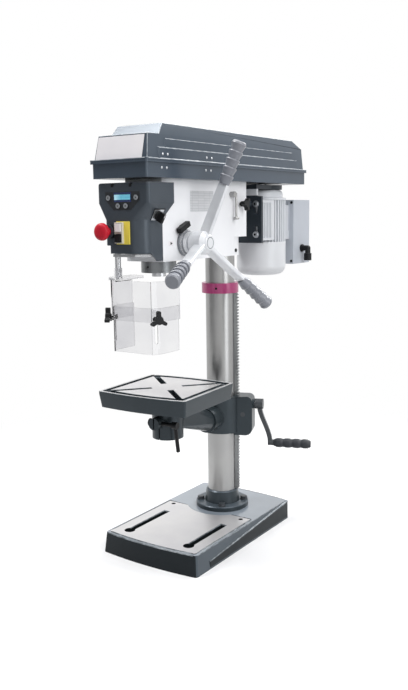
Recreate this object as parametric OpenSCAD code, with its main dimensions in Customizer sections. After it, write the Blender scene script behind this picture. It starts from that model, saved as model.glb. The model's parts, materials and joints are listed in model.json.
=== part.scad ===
// Benchtop drill press. A column carries a crank-lifted tilting table and a head with a geared feed,
// a belt drive under a hinged cover, a control panel, a sliding motor and a swing-away guard.
// Millimetres. Origin on the bench at the column axis, front towards -Y, operator's right towards +X.

/* [Base] */
// Width of the base casting
base_w = 272; // [262:1:320]
// Front edge of the base, from the column axis
base_front = 325; // [310:1:380]
// Rear edge of the base, from the column axis
base_rear = 122; // [112:1:160]
// Height of the base up to its ground face
base_h = 50.5; // [44:0.5:66]
// Outward bow of the front and rear edges
base_bow = 8; // [4:0.5:12]
// Draft of the base walls
base_draft = 4.4; // [2:0.2:7]
// Wall of the hollow underside
base_wall = 12; // [8:1:15]
// Thickness of the base top
base_top = 16; // [12:1:20]
// Distance of each clamping slot from the centre line
slot_x = 86.5; // [80:0.5:92]
// Width of a clamping slot
slot_w = 14; // [10:1:18]
// Length of a clamping slot
slot_len = 148; // [110:1:160]
// Rear end of the clamping slots, from the column axis
slot_rear = 128; // [120:1:140]
// Spacing of the two bench bolt holes
bench_spacing = 206; // [196:1:214]
// Diameter of a bench bolt hole
bench_hole_d = 11; // [8:0.5:13]

/* [Column] */
// Column diameter
col_d = 73; // [72:0.5:74]
// Column wall thickness
col_wall = 5; // [3:0.5:8]
// Diameter of the foot flange
foot_d = 136; // [132:1:144]
// Thickness of the foot flange
flange_h = 12; // [8:1:16]
// Height of the tapered collar above the flange
foot_collar_h = 31; // [24:1:40]
// Underside of the stop ring
ring_z = 604; // [570:1:620]
// Height of the stop ring
ring_h = 25; // [18:1:32]
// Diameter of the stop ring
ring_d = 92; // [90:1:100]

/* [Table] */
// Table width
table_w = 230; // [200:1:250]
// Table depth
table_d = 231; // [200:1:240]
// Height of the table top above the bench
table_z = 409; // [400:1:440]
// Height of the table's skirt
table_h = 37; // [30:1:40]
// Swing of the table about the column
table_swing = 3.5; // [-20:0.5:20]
// Thickness of the table top
table_top = 14; // [10:1:18]
// Width of the raised rim
rim_w = 6; // [4:0.5:9]
// Width of the coolant groove inside the rim
groove_w = 13; // [8:0.5:16]
// Depth of the coolant groove
groove_depth = 5; // [3:0.5:7]
// Width of a table slot
table_slot_w = 13; // [9:0.5:16]
// Diameter of the table stem
stem_d = 45; // [38:1:50]
// Diameter of the ring that clamps the stem
arm_ring_d = 72; // [68:1:80]
// Underside of the clamping ring
arm_ring_z = 292; // [286:1:304]
// Diameter of the tilt flanges
tilt_d = 62; // [56:1:66]
// Height of the tilt axis
tilt_z = 290; // [284:1:296]
// Face of the tilt joint, from the column axis
tilt_face = 60; // [58:1:66]

/* [Lift] */
// Underside of the table bracket
bracket_z = 249; // [244:1:254]
// Height of the table bracket
bracket_h = 93; // [90:1:98]
// Diameter of the bracket collar
bracket_d = 102; // [100:1:110]
// Direction of the crank behind the operator's right
lift_angle = 18; // [10:1:30]
// Gear module of the lift rack
lift_module = 2.5; // [2.5:0.05:2.6]
// Teeth on the lift pinion
lift_teeth = 12; // [12:1:12]
// Width of the column rack
rack_w = 14; // [12:0.5:16]
// Depth of the rack in front of the column
rack_depth = 10; // [9:0.25:11]
// Eccentric depth of the worm thread
worm_e = 2; // [1.6:0.1:2.2]
// Mean radius of the worm
worm_r = 9; // [8.5:0.1:9.5]
// Drop of the crank arm
crank_drop = 100; // [80:1:110]
// Length of the crank grip
crank_grip_l = 94; // [80:1:104]
// Diameter of the crank grip
crank_grip_d = 24; // [20:0.5:27]

/* [Head] */
// Distance from the column axis to the spindle axis
throat = 251; // [246:1:256]
// Width of the head casting
head_w = 100; // [96:1:104]
// Underside of the head casting
head_z = 697; // [690:1:700]
// Height of the head casting up to the belt tray
head_h = 177; // [174:1:182]
// Front face of the head casting, from the spindle axis
head_nose = 49; // [47:1:52]
// Rear face of the upper head, from the column axis
head_rear = 46; // [44:1:52]
// Height of the lower column sleeve below the rear overhang
sleeve_h = 45; // [38:1:52]
// Diameter of the lower column sleeve
sleeve_d = 94; // [92:1:96]
// Quill diameter
quill_d = 46; // [45:0.5:48]
// Travel of the quill
quill_travel = 75; // [60:1:76]
// Diameter of the ring under the head
quill_ring_d = 79; // [72:1:86]
// Height of the ring under the head
quill_ring_h = 26; // [20:1:28]
// Diameter of the spindle nose
nose_d = 32; // [30:1:36]
// Length of the spindle nose below the quill
nose_l = 9; // [7:0.5:12]
// Wide end of the taper socket
taper_d = 17.8; // [15:0.1:18]
// Depth of the taper socket
taper_l = 64; // [50:1:70]

/* [Feed] */
// Gear module of the quill rack
feed_module = 2; // [2:0.02:2.04]
// Teeth on the feed pinion
feed_teeth = 12; // [12:1:12]
// Height of the feed shaft
feed_z = 735.5; // [732:0.5:740]
// Feed shaft diameter
feed_shaft_d = 18; // [16:0.5:18]
// Length of the feed arms from the hub axis to the grip ends
feed_arm_l = 232; // [200:1:240]
// Width of a feed arm along the shaft, at the hub
feed_arm_w = 28; // [22:0.5:30]
// Width of a feed arm along the shaft, at its grip
feed_neck_w = 25; // [20:0.5:27]
// Thickness of a feed arm at the hub
feed_arm_t = 11; // [9:0.5:13]
// Outward splay of the feed arms
feed_splay = 18; // [10:0.5:20]
// Turn of the first feed arm above the horizontal
feed_turn = 78; // [60:1:110]
// Length of a feed grip
feed_grip_l = 97; // [80:1:110]
// Diameter of a feed grip
feed_grip_d = 33; // [30:0.5:36]
// Diameter of the depth scale ring
depth_ring_d = 60; // [54:1:62]

/* [Control cover] */
// Width of the control cover
panel_w = 138; // [132:1:150]
// Front face of the control cover, from the column axis
panel_front = 370; // [366:1:380]
// Drop of the control cover's top below the belt tray
panel_drop = 9; // [4:1:12]
// Height of the wide upper part
panel_upper_h = 42; // [38:1:46]
// Height of the sloped part
panel_slope_h = 35; // [30:1:38]
// Rear edge of the wide upper part, from the column axis
panel_rear = 282; // [278:1:290]
// Lower front edge of the control cover
panel_lip_z = 717; // [712:1:720]
// Wall of the control cover
panel_wall = 3; // [2:0.5:4]
// Diameter of the emergency stop head
stop_head_d = 39; // [32:1:42]

/* [Guard] */
// Width of the guard
guard_w = 135; // [126:1:142]
// Front of the guard, from the column axis
guard_front = 353; // [352:1:360]
// Rear edges of the guard, from the column axis
guard_rear = 266; // [258:1:280]
// Top of the guard
guard_top = 658; // [650:1:660]
// Height of the upper guard
guard_upper_h = 87; // [70:1:95]
// Height of the lower guard
guard_lower_h = 100; // [80:1:105]
// Bottom of the lower guard
guard_z = 501; // [496:1:510]
// Sheet thickness of the guard
guard_t = 3; // [2:0.5:4]

/* [Belt cover] */
// Width of the belt cover over its lips
cover_w = 155.6; // [150:0.2:164]
// Front of the belt cover lip, from the column axis
cover_front = 384; // [376:1:396]
// Rear of the belt cover lip, from the column axis
cover_rear = 321; // [312:1:335]
// Height of the belt tray
tray_h = 34.4; // [30:0.2:40]
// Height of the lid above the tray
lid_h = 78.6; // [72:0.2:84]
// Width of the lip round the tray and lid
lip_w = 4.2; // [3:0.2:6]
// Wall of the belt cover
cover_wall = 3; // [2:0.2:4]

/* [Drive] */
// Distance from the column axis to the motor axis
motor_y = 205; // [203:1:212]
// Diameter of the motor over its fins
motor_d = 132; // [126:1:136]
// Clearance between the motor's end shield and the belt tray
motor_gap = 15; // [12:1:22]
// Height of the fan cover
fan_h = 88; // [80:1:94]
// Height of the finned housing
fin_h = 110; // [100:1:112]
// Cooling fins round the motor
fin_count = 44; // [36:1:52]
// Radius of the middle pulley step
pulley_r = 46; // [42:0.5:48]
// Change of radius from step to step
pulley_step = 9; // [7:0.5:10]
// Height of a pulley step
step_h = 16; // [14:0.5:17]
// Belt width
belt_w = 8; // [6:0.5:9]
// Belt thickness
belt_t = 7; // [5:0.5:8]
// Front face of the motor plate, from the column axis
plate_y = 100; // [96:1:104]
// Width of the motor plate
plate_w = 124; // [118:1:130]
// Height of the motor plate
plate_h = 118; // [112:1:122]
// Diameter of the motor guide rods
guide_d = 16; // [14:0.5:17]
// Width of the terminal box
box_w = 112; // [100:1:118]
// Depth of the terminal box
box_d = 96; // [80:1:104]
// Height of the terminal box
box_h = 174; // [150:1:180]

/* [Hidden] */
$fn = 64;
// Radial clearance of a fixed fit and of a running fit, and room between moving faces
fit = 0.03;
run = 0.06;
gap = 0.4;
cut = 1;

col_r = col_d / 2;
slit_w = 3;
screw_r = 5;

// Base and foot
base_corner = 8;
ledge_front = 262;
ledge_low = 4;
ledge_z = 20;
ledge_drop = 1.5;
ground_h = 1.5;
ground_inset = 11;
ground_rear = 62;
ground_arc = 92;
bench_y = -76;
rib_w = 8;
rib_y = -185;
slot_relief = 12;
pocket_r = 13;
foot_bolts_n = 4;
foot_bolt_r = 5;
foot_bolt_turn = 32;
foot_bolt_ring = 56;
foot_bolt_l = 22;
foot_neck_d1 = 90;
foot_neck_d2 = 82;
foot_top = base_h + flange_h + foot_collar_h;

// Lift train, measured along the radius through the crank
rack_tip = col_r + rack_depth;
rack_pitch = PI * lift_module;
lift_add = 0.8 * lift_module;
lift_ded = lift_module;
lift_r = lift_module * lift_teeth / 2;
lift_tip = lift_r + 0.72 * lift_module;
lift_root = lift_r - 1.04 * lift_module;
lift_x = rack_tip - lift_add + lift_r + 0.2;
lift_z = tilt_z + 5.6;
lift_w = 14;
lift_axle_r = 6;
worm_z = lift_z + lift_tip + worm_r - worm_e + gap;
worm_l = 18;
crank_r = 8;
housing_w = 46;
housing_x = lift_x + lift_tip + 7;
housing_top = bracket_z + bracket_h;
boss_x = housing_x + 5;
boss_l = 20;
boss_r = 13;
crank_shift = 28;
crank_t = 10;
grip_pin_r = 4.5;
grip_x = boss_x + boss_l / 2 + crank_shift + 9;
clamp_angle = 155;
ear_t = 13;
ear_l = 24;
ear_h = 44;
clamp_x = bracket_d / 2 + 11;
clamp_z = bracket_z + bracket_h / 2;

// Table arm
tilt_bolt_r = 8;
tilt_head_r = 13;
arm_disc_t = 22;
stem_z = arm_ring_z + 4;
arm_top = table_z - table_h - 4;
lug_z = arm_ring_z + 42;
lug_y = -throat - arm_ring_d / 2 - 8;
lug_r = 14;

// Head
head_top = head_z + head_h;
head_front = throat + head_nose;
shelf_z = head_z + sleeve_h;
col_top = head_z + 108;
quill_r = quill_d / 2;
quill_z = head_z - quill_ring_h;
quill_top = head_z + 135;
hub_top_z = quill_top + 8;
sleeve_r = 20;
feed_r = feed_module * feed_teeth / 2;
feed_tip = feed_r + 0.92 * feed_module;
feed_root = feed_r - 1.25 * feed_module;
rack_flat = quill_r - 1.5;
feed_y = -throat + rack_flat - feed_module + feed_r + 0.2;
feed_w = 28;
feed_r_shaft = feed_shaft_d / 2;
feed_pitch = PI * feed_module;
bearing_h = 9;
spindle_r = 8.5;
spindle_low_r = 12.5;
spindle_top = head_top + 92;
key_w = 4;
key_h = 2.4;
spring_cap_r = 32;
spring_cap_l = 24;
spring_cap_wall = 3;
ring_x = head_w / 2 + 1.2;
ring_t = 10.5;
hub_core_r = 14;
hub_disc_r = 24;
hub_x = ring_x + ring_t;
hub_end = hub_x + 57;
arm_x = hub_x + 34.5;
arm_root = 16;
arm_tail_d = 8;
arm_neck = feed_arm_l - feed_grip_l;
arm_chamfer = 2;
lock_turn = 115;
lock_r = depth_ring_d / 2 + 8;

// Control cover
panel_top = head_top - panel_drop;
panel_low_w = head_w;
panel_z = head_z + 3;
panel_step_x = -37;
panel_step_z = panel_lip_z + 17;
panel_curve = 32;
slope_top = panel_top - panel_upper_h;
slope_z = slope_top - panel_slope_h;
slope_tilt = 90 + atan2((panel_w - panel_low_w) / 2, panel_slope_h);
selector_r = 5;
selector_y = -323;
selector_drop = 26;
selector_x = panel_w / 2 - (panel_w - panel_low_w) / 2 * selector_drop / panel_slope_h;
display_z = panel_top - 32;
display_w = 58;
display_h = 24;
key_d = 11;
display_keys = [[-38, display_z + 1], [37, display_z + 1], [-12, display_z - 16], [9, display_z - 16]];
switch_z = panel_lip_z + 44;
switch_w = 36;
switch_h = 48;
button_x = -7.5;
button_w = 15;
start_z = switch_z + 11;
stop_z = switch_z - 11;
estop = [-33, panel_lip_z + 47];
notch_x = 24;
notch_w = 5;
estop_stem_r = 8;
estop_reach = 41;

// Guard
guard_face = guard_w / 2 - 12.5;
guard_corner = 22;
guard_turn = atan2(-12.5, guard_corner);
guard_mid = [guard_face + 6.25, -guard_front + guard_corner / 2];
guard_rod_r = 6.5;
guard_rod = [-41, -343];
guard_plate_t = 7;
knob_z = guard_top - guard_upper_h + 6;
knob_screw_r = 3;
guard_slot_l = 50;

// Belt cover and drive
seam = head_top + tray_h;
band_corner = 5;
lid_z = seam + gap;
lid_top = lid_z + lid_h;
hinge_r = 3.2;
hinge_x = -cover_w / 2 - hinge_r;
hinge_z = seam + gap / 2;
hinge_l = 48;
hinge_ys = [-250, 190];
hinge_pin_r = 1.6;
pulley_z = head_top + 12;
belt_z = pulley_z + 1.5 * step_h;
motor_r = motor_d / 2;
motor_cap = 26;
motor_z = head_top - motor_gap - motor_cap - fin_h - fan_h;
fin_z = motor_z + fan_h;
shield_z = fin_z + fin_h;
motor_core = motor_r - 6;
rotor_r = 38;
shaft_r = 9.5;
plate_t = 8;
leaf_r = 56;
leaf_t = motor_gap - 4;
leaf_z = shield_z + motor_cap + gap;
foot_groove = 8;
plate_z = fin_z;
guide_x = 30;
guide_z = head_z + 124;
guide_r = guide_d / 2;
motor_slack = 8;
lever_y = -26;
lever_z = guide_z + 22.5;
lever_r = 6;
finger_l = lever_z - guide_z - guide_r + 3;
finger_r = 3;
lock_y = 18;
box_y = motor_y + motor_r + 13;
box_z = shield_z - box_h;
gland_y = box_y + 0.5 * box_d;
gland_z = box_z + 42;

// Basic shapes placed by their ends
module block(lo, hi) {
    translate(lo) cube(hi - lo);
}
module rod_x(x0, x1, r, y = 0, z = 0) {
    translate([x0, y, z]) rotate([0, 90, 0]) cylinder(h = x1 - x0, r = r);
}
module rod_y(y0, y1, r, x = 0, z = 0) {
    translate([x, y0, z]) rotate([-90, 0, 0]) cylinder(h = y1 - y0, r = r);
}
module rod_z(z0, z1, r, x = 0, y = 0) {
    translate([x, y, z0]) cylinder(h = z1 - z0, r = r);
}
module tube_z(z0, z1, r, bore, x = 0, y = 0) {
    difference() {
        rod_z(z0, z1, r, x, y);
        rod_z(z0 - cut, z1 + cut, bore, x, y);
    }
}

// Turns an outline drawn as [depth, height] into a solid of width w across the depth direction
module slab_x(w) {
    translate([-w / 2, 0, 0]) rotate([90, 0, 90]) linear_extrude(w) children();
}

function arc(x, y, r, a0, a1, n = 6) = [
    for (i = [0:n]) let (a = a0 + (a1 - a0) * i / n) [x + r * cos(a), y + r * sin(a)]
];
function turned(p, a) = [p[0] * cos(a) - p[1] * sin(a), p[0] * sin(a) + p[1] * cos(a)];

// Rectangle with round corners whose front and rear edges bow outwards
function bowed(w, front, rear, bow, r, n = 8) = let (h = w / 2 - r) concat(
    arc(h, rear - bow - r, r, 0, 90),
    [for (i = [1:n - 1]) let (t = 1 - 2 * i / n) [h * t, rear - bow * t * t]],
    arc(-h, rear - bow - r, r, 90, 180),
    arc(-h, front + bow + r, r, 180, 270),
    [for (i = [1:n - 1]) let (t = 2 * i / n - 1) [h * t, front + bow * t * t]],
    arc(h, front + bow + r, r, 270, 360)
);

// Straight-sided spur teeth
function gear_points(n, root, tip, half_root, half_tip) = [
    for (i = [0:n - 1], p = [[root, -half_root], [tip, -half_tip], [tip, half_tip], [root, half_root]])
        turned(p, 360 * i / n)
];

// Rack outline as [depth, height]: teeth point to larger depth, a gap is centred at height z0
function rack_points(back, tip, root, pitch, half_tip, half_root, z0, low, high) = concat(
    [[back, low], [root, low]],
    [for (k = [ceil((low + half_tip - z0) / pitch):floor((high - half_tip - z0) / pitch)],
        p = [[tip, -half_tip], [root, -half_root], [root, half_root], [tip, half_tip]])
        [p[0], z0 + k * pitch + p[1]]],
    [[root, high], [back, high]]
);

// Groups that share a place
module swung() {
    rotate([0, 0, table_swing]) children();
}
module lift_side() {
    swung() rotate([0, 0, lift_angle]) children();
}
module at_feed() {
    translate([0, feed_y, feed_z]) children();
}
module along_arm(k) {
    at_feed() rotate([feed_turn + 120 * k, 0, 0]) translate([arm_x, 0, 0])
        rotate([0, 0, -feed_splay]) rotate([-90, 0, 0]) children();
}

// Base and column

module base_outline(inset) {
    polygon(bowed(base_w - 2 * inset, -base_front + inset, base_rear - inset, base_bow, base_corner));
}
module foot_bolt_places() {
    for (k = [0:foot_bolts_n - 1])
        rotate([0, 0, foot_bolt_turn + 360 * k / foot_bolts_n]) translate([foot_bolt_ring, 0,
            0]) children();
}
module base() color("dimgray") {
    top = base_h - ground_h;
    inner = base_w / 2 - base_wall - base_draft;
    cell_top = base_h - base_top;
    front = -base_front + base_wall + base_bow + base_draft;
    difference() {
        union() {
            hull() {
                linear_extrude(cut) base_outline(0);
                translate([0, 0, top - cut]) linear_extrude(cut) base_outline(base_draft);
            }
            intersection() {
                linear_extrude(top) base_outline(0.15);
                slab_x(base_w) polygon([[-ledge_front, ledge_low], [base_rear + 1, ledge_low],
                    [base_rear + 1, top - ledge_drop], [-ledge_front, ledge_z]]);
            }
            translate([0, 0, top - cut]) linear_extrude(ground_h + cut) difference() {
                intersection() {
                    base_outline(ground_inset);
                    translate([-base_w / 2, -base_front]) square([base_w, base_front - ground_rear]);
                }
                circle(ground_arc);
            }
        }
        for (row = [[front, rib_y - rib_w / 2], [rib_y + rib_w / 2, -foot_d / 2 - 18]])
            block([-inner, row[0], -cut], [inner, row[1], cell_top]);
        for (s = [0, 1]) mirror([s, 0, 0]) {
            block([foot_d / 2 + 6, -foot_d / 2 + 6, -cut],
                [inner, base_rear - base_bow - base_wall - base_draft, cell_top]);
            block([slot_x - slot_w / 2, -slot_rear - slot_len, cell_top - slot_relief],
                [slot_x + slot_w / 2, -slot_rear, base_h + cut]);
            rod_z(cell_top - cut, base_h + cut, pocket_r, slot_x, -slot_rear - slot_len);
            rod_z(-cut, base_h + cut, bench_hole_d / 2, bench_spacing / 2, bench_y);
        }
        foot_bolt_places() rod_z(top - base_top, base_h + cut, foot_bolt_r + fit);
        rod_z(top, base_h + cut, foot_d / 2 + 2);
    }
}
module column_foot() color("dimgray") {
    seat = base_h - ground_h;
    neck = seat + flange_h;
    difference() {
        rotate_extrude() polygon([
            [col_r + fit, seat], [foot_d / 2, seat], [foot_d / 2, neck - 2], [foot_d / 2 - 2, neck],
            [foot_neck_d1 / 2, neck], [foot_neck_d2 / 2, foot_top - 3], [foot_neck_d2 / 2 - 3, foot_top],
            [col_r + fit, foot_top]
        ]);
        foot_bolt_places() rod_z(seat - cut, neck + cut, foot_bolt_r + fit);
    }
}
module foot_bolts() color("silver") {
    head = base_h - ground_h + flange_h;
    foot_bolt_places() {
        rod_z(head - foot_bolt_l, head + 0.5, foot_bolt_r);
        rod_z(head, head + 1.6, 10);
        translate([0, 0, head + 1.6]) cylinder(h = 6.4, r = 8.6, $fn = 6);
    }
}
module column() color("lightgray") {
    tube_z(base_h - ground_h, col_top, col_r, col_r - col_wall);
}
module column_ring() color("mediumvioletred") {
    difference() {
        tube_z(ring_z, ring_z + ring_h, ring_d / 2, col_r + fit);
        rotate([0, 0, -70]) rod_x(col_r - 2, ring_d, 3, 0, ring_z + ring_h / 2);
    }
}

// Table lift

module column_rack() color("gray") lift_side() {
    low = foot_top + gap;
    high = ring_z - gap;
    flank = tan(20);
    difference() {
        rotate([90, 0, 0]) linear_extrude(rack_w, center = true) polygon(rack_points(
            col_r - 2, rack_tip, rack_tip - lift_add - lift_ded, rack_pitch,
            rack_pitch / 4 + lift_add * flank, rack_pitch / 4 - lift_ded * flank, lift_z, low, high));
        rod_z(low - cut, high + cut, col_r + run);
    }
}
module clamp_ear_place() {
    swung() rotate([0, 0, clamp_angle]) children();
}
module table_bracket() color("slategray") {
    top = bracket_z + bracket_h;
    difference() {
        union() {
            swung() rod_z(bracket_z, top, bracket_d / 2);
            swung() rod_y(-tilt_face, -col_r + 4, tilt_d / 2, 0, tilt_z);
            lift_side() rotate([90, 0, 0]) linear_extrude(housing_w, center = true) polygon(concat(
                [[col_r, bracket_z - 8]], arc(housing_x - 18, bracket_z + 10, 18, -90, 0),
                arc(housing_x - 14, housing_top - 14, 14, 0, 90), [[col_r, housing_top]]));
            lift_side() rod_x(housing_x - cut, housing_x + 4, boss_r, 0, worm_z);
            clamp_ear_place() block([bracket_d / 2 - 6, -ear_t - slit_w / 2, clamp_z - ear_h / 2],
                [bracket_d / 2 + ear_l, ear_t + slit_w / 2, clamp_z + ear_h / 2]);
        }
        rod_z(bracket_z - 10, top + cut, col_r + run);
        lift_side() {
            block([0, -rack_w / 2 - gap, bracket_z - 10], [rack_tip + gap, rack_w / 2 + gap, top + cut]);
            rod_y(-lift_w / 2 - gap, lift_w / 2 + gap, lift_tip + cut, lift_x, lift_z);
            block([col_r, -lift_w / 2 - gap, lift_z - lift_tip - cut],
                [lift_x, lift_w / 2 + gap, lift_z + lift_tip + cut]);
            rod_y(-housing_w / 2 - cut, housing_w / 2 + cut, lift_axle_r + run, lift_x, lift_z);
            rod_x(col_r, lift_x + worm_l / 2 + cut, worm_r + worm_e + cut, 0, worm_z);
            rod_x(col_r, housing_x + 5, crank_r + run, 0, worm_z);
        }
        swung() rod_y(-tilt_face - cut, -col_r - 4, tilt_bolt_r + fit, 0, tilt_z);
        clamp_ear_place() {
            block([0, -slit_w / 2, bracket_z - cut], [bracket_d / 2 + ear_l + cut, slit_w / 2, top + cut]);
            rod_y(-ear_t - slit_w, ear_t + slit_w, screw_r + run, clamp_x, clamp_z);
        }
    }
}
module lift_pinion() color("goldenrod") lift_side() {
    translate([lift_x, 0, lift_z]) rotate([90, 0, 0]) {
        linear_extrude(lift_w, center = true)
            polygon(gear_points(lift_teeth, lift_root, lift_tip, 0.96 * lift_module, 0.2 * lift_module));
        translate([0, 0, -housing_w / 2]) cylinder(h = housing_w, r = lift_axle_r);
    }
}
module crank_shaft() color("gray") lift_side() {
    lead = rack_pitch;
    turns = worm_l / lead;
    translate([lift_x - worm_l / 2, 0, worm_z]) rotate([0, 90, 0])
        linear_extrude(worm_l, twist = -360 * turns, slices = ceil(14 * turns), $fn = 20)
            rotate(180 - 180 * turns) translate([worm_e, 0]) circle(worm_r);
    rod_x(lift_x + worm_l / 2 - cut, boss_x + boss_l - 2, crank_r, 0, worm_z);
}
module crank_arm() color("dimgray") lift_side() {
    mid = boss_x + boss_l / 2;
    low = worm_z - crank_drop;
    steps = 14;
    half = 5.5;
    path = [for (i = [0:steps]) let (t = i / steps) [mid + crank_shift * t * t * (3 - 2 * t),
        worm_z - crank_drop * t]];
    difference() {
        union() {
            rod_x(boss_x, boss_x + boss_l, boss_r, 0, worm_z);
            rotate([90, 0, 0]) linear_extrude(crank_t, center = true) polygon(concat(
                [for (p = path) [p[0] - half, p[1]]], [for (i = [steps:-1:0]) [path[i][0] + half,
                    path[i][1]]]));
            rod_x(mid + crank_shift - half, grip_x - gap, 7.5, 0, low);
            rod_x(grip_x - gap - cut, grip_x + crank_grip_l - 6, grip_pin_r, 0, low);
        }
        rod_x(boss_x - cut, boss_x + boss_l - 2 + gap, crank_r + fit, 0, worm_z);
    }
}
module crank_grip() color("dimgray") lift_side() {
    ribs = 4;
    r = crank_grip_d / 2;
    wave = [for (i = [0:8 * ribs]) let (t = i / (8 * ribs))
        [r - 1.8 * pow(abs(cos(180 * ribs * t)), 6) - 1.2 * pow(2 * t - 1, 8), 2 + t * (crank_grip_l - 4)]];
    translate([grip_x, 0, worm_z - crank_drop]) rotate([0, 90, 0]) difference() {
        rotate_extrude() polygon(concat([[0, 0], [r - 4, 0]], wave, [[r - 4, crank_grip_l], [0,
            crank_grip_l]]));
        translate([0, 0, -cut]) cylinder(h = crank_grip_l - 6 + gap + cut, r = grip_pin_r + run);
    }
}
module bracket_clamp() color("dimgray") clamp_ear_place() {
    face = ear_t + slit_w / 2 + gap;
    rod_y(-face - 6, face + cut, screw_r, clamp_x, clamp_z);
    rod_y(-face - 6, -face, 9, clamp_x, clamp_z);
    rod_y(face, face + 14, 9, clamp_x, clamp_z);
    translate([clamp_x, face + 7, clamp_z]) rotate([0, 55, 0]) {
        cylinder(h = 74, r = 4.5);
        translate([0, 0, 74]) sphere(r = 8);
    }
}

// Table

module table_arm() color("slategray") swung() {
    disc = -tilt_face - gap / 2;
    difference() {
        union() {
            rod_y(disc - arm_disc_t, disc, tilt_d / 2, 0, tilt_z);
            hull() {
                rod_y(disc - arm_disc_t, disc - arm_disc_t + 2, tilt_d / 2 - 4, 0, tilt_z);
                block([-22, -throat, arm_ring_z + 24], [22, -throat + 6, arm_top]);
            }
            rod_z(arm_ring_z, arm_top, arm_ring_d / 2, 0, -throat);
            rod_y(lug_y - lug_r, -throat, lug_r, 0, lug_z);
        }
        rod_y(disc - arm_disc_t - cut, disc + cut, tilt_bolt_r + run, 0, tilt_z);
        rod_y(disc - arm_disc_t - 34, disc - arm_disc_t + 3, tilt_head_r + 5, 0, tilt_z);
        rod_z(arm_ring_z - cut, arm_top + cut, stem_d / 2 + run, 0, -throat);
        block([-slit_w / 2, lug_y - lug_r - cut, arm_ring_z - cut], [slit_w / 2, -throat, arm_top + cut]);
        rod_x(-lug_r - cut, lug_r + cut, screw_r + run, lug_y, lug_z);
    }
}
module tilt_bolt() color("silver") swung() {
    head = -tilt_face - gap / 2 - arm_disc_t + 3 - gap;
    rod_y(head - cut, -col_r - 5, tilt_bolt_r, 0, tilt_z);
    translate([0, head - 10, tilt_z]) rotate([-90, 0, 0]) cylinder(h = 10, r = tilt_head_r, $fn = 6);
}
module table_outline(inset) {
    polygon(bowed(table_w - 2 * inset, -throat - table_d / 2 + inset, -throat + table_d / 2 - inset, 8, 6));
}
module work_table() color("lightsteelblue") swung() {
    field = rim_w + groove_w;
    slot_out = table_w / 2 - field - 3;
    draft = 4;
    difference() {
        union() {
            hull() {
                translate([0, 0, table_z - table_h]) linear_extrude(cut) table_outline(draft);
                translate([0, 0, table_z - 6]) linear_extrude(6) table_outline(0);
            }
        }
        difference() {
            translate([0, 0, table_z - groove_depth]) linear_extrude(groove_depth + cut)
                table_outline(rim_w);
            translate([0, 0, table_z - groove_depth - cut]) linear_extrude(groove_depth + cut)
                table_outline(field);
        }
        difference() {
            translate([0, 0, table_z - table_h - cut]) linear_extrude(table_h - table_top - 6 + cut)
                table_outline(draft + 9);
            rod_z(table_z - table_h - 2 * cut, table_z, arm_ring_d / 2, 0, -throat);
        }
        translate([0, -throat, 0]) for (k = [0:3]) rotate([0, 0, 45 + 90 * k])
            block([36, -table_slot_w / 2, table_z - table_top - 10], [slot_out * sqrt(2),
                table_slot_w / 2, table_z + cut]);
    }
    rod_z(stem_z, table_z - table_h + cut, stem_d / 2, 0, -throat);
}
module table_clamp() color("dimgray") swung() {
    hub = lug_r + gap;
    reach = arm_ring_d / 2 + 6;
    rod_x(-hub - 5, reach + 12, screw_r, lug_y, lug_z);
    rod_x(-hub - 5, -hub, 9, lug_y, lug_z);
    rod_x(reach, reach + 13, 8, lug_y, lug_z);
    translate([reach + 6.5, lug_y, lug_z]) rotate([10, 0, 0]) translate([0, 0, -64]) cylinder(h = 64,
        r = 4.4);
}

// Head

module head_casting() color("whitesmoke") {
    half = head_w / 2;
    wall = 8;
    boss = quill_r + 9;
    difference() {
        union() {
            block([-half, -head_front, head_z], [half, -12, head_top]);
            block([-half, -13, shelf_z], [half, head_rear, head_top]);
            rod_z(head_z, head_top, sleeve_d / 2);
        }
        difference() {
            block([-half + wall, feed_y + feed_tip + wall, head_z + 14], [half - wall, -col_r,
                head_top + cut]);
            rod_z(head_z, head_top + 2 * cut, sleeve_d / 2 - 1);
        }
        difference() {
            block([-half + wall, -head_front + wall, feed_z + 26], [half - wall, feed_y + feed_tip,
                head_top + cut]);
            rod_z(head_z, head_top + 2 * cut, boss, 0, -throat);
        }
        rod_z(head_z - cut, col_top + cut, col_r + fit);
        rod_z(head_z - cut, hub_top_z, quill_r + run, 0, -throat);
        rod_z(hub_top_z - cut, head_top + cut, sleeve_r + run, 0, -throat);
        rod_x(-half - cut, half + cut, feed_r_shaft + run, feed_y, feed_z);
        rod_x(-feed_w / 2 - cut, feed_w / 2 + cut, feed_tip + cut, feed_y, feed_z);
        for (s = [-1, 1]) rod_y(-col_r - 40, head_rear + cut, guide_r + run, s * guide_x, guide_z);
        rod_x(guide_x - 10, half + cut, lever_r + run, lever_y, lever_z);
        block([guide_x - 8, lever_y - 18, guide_z - 2], [guide_x + 8, lever_y + 8, head_top + cut]);
        rod_x(guide_x, half + cut, 4 + run, lock_y, guide_z);
        at_feed() rotate([lock_turn, 0, 0]) rod_x(half - 12, half + cut, screw_r + run, lock_r, 0);
        rod_x(half - 14, half + cut, 3.2, 0, head_z + 12);
    }
}
module quill_ring() color("gray") {
    difference() {
        tube_z(quill_z, head_z, quill_ring_d / 2, quill_r + gap, 0, -throat);
        rod_y(-throat - quill_ring_d / 2 - cut, -throat, 2.5, 0, quill_z + quill_ring_h / 2);
    }
}
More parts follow.
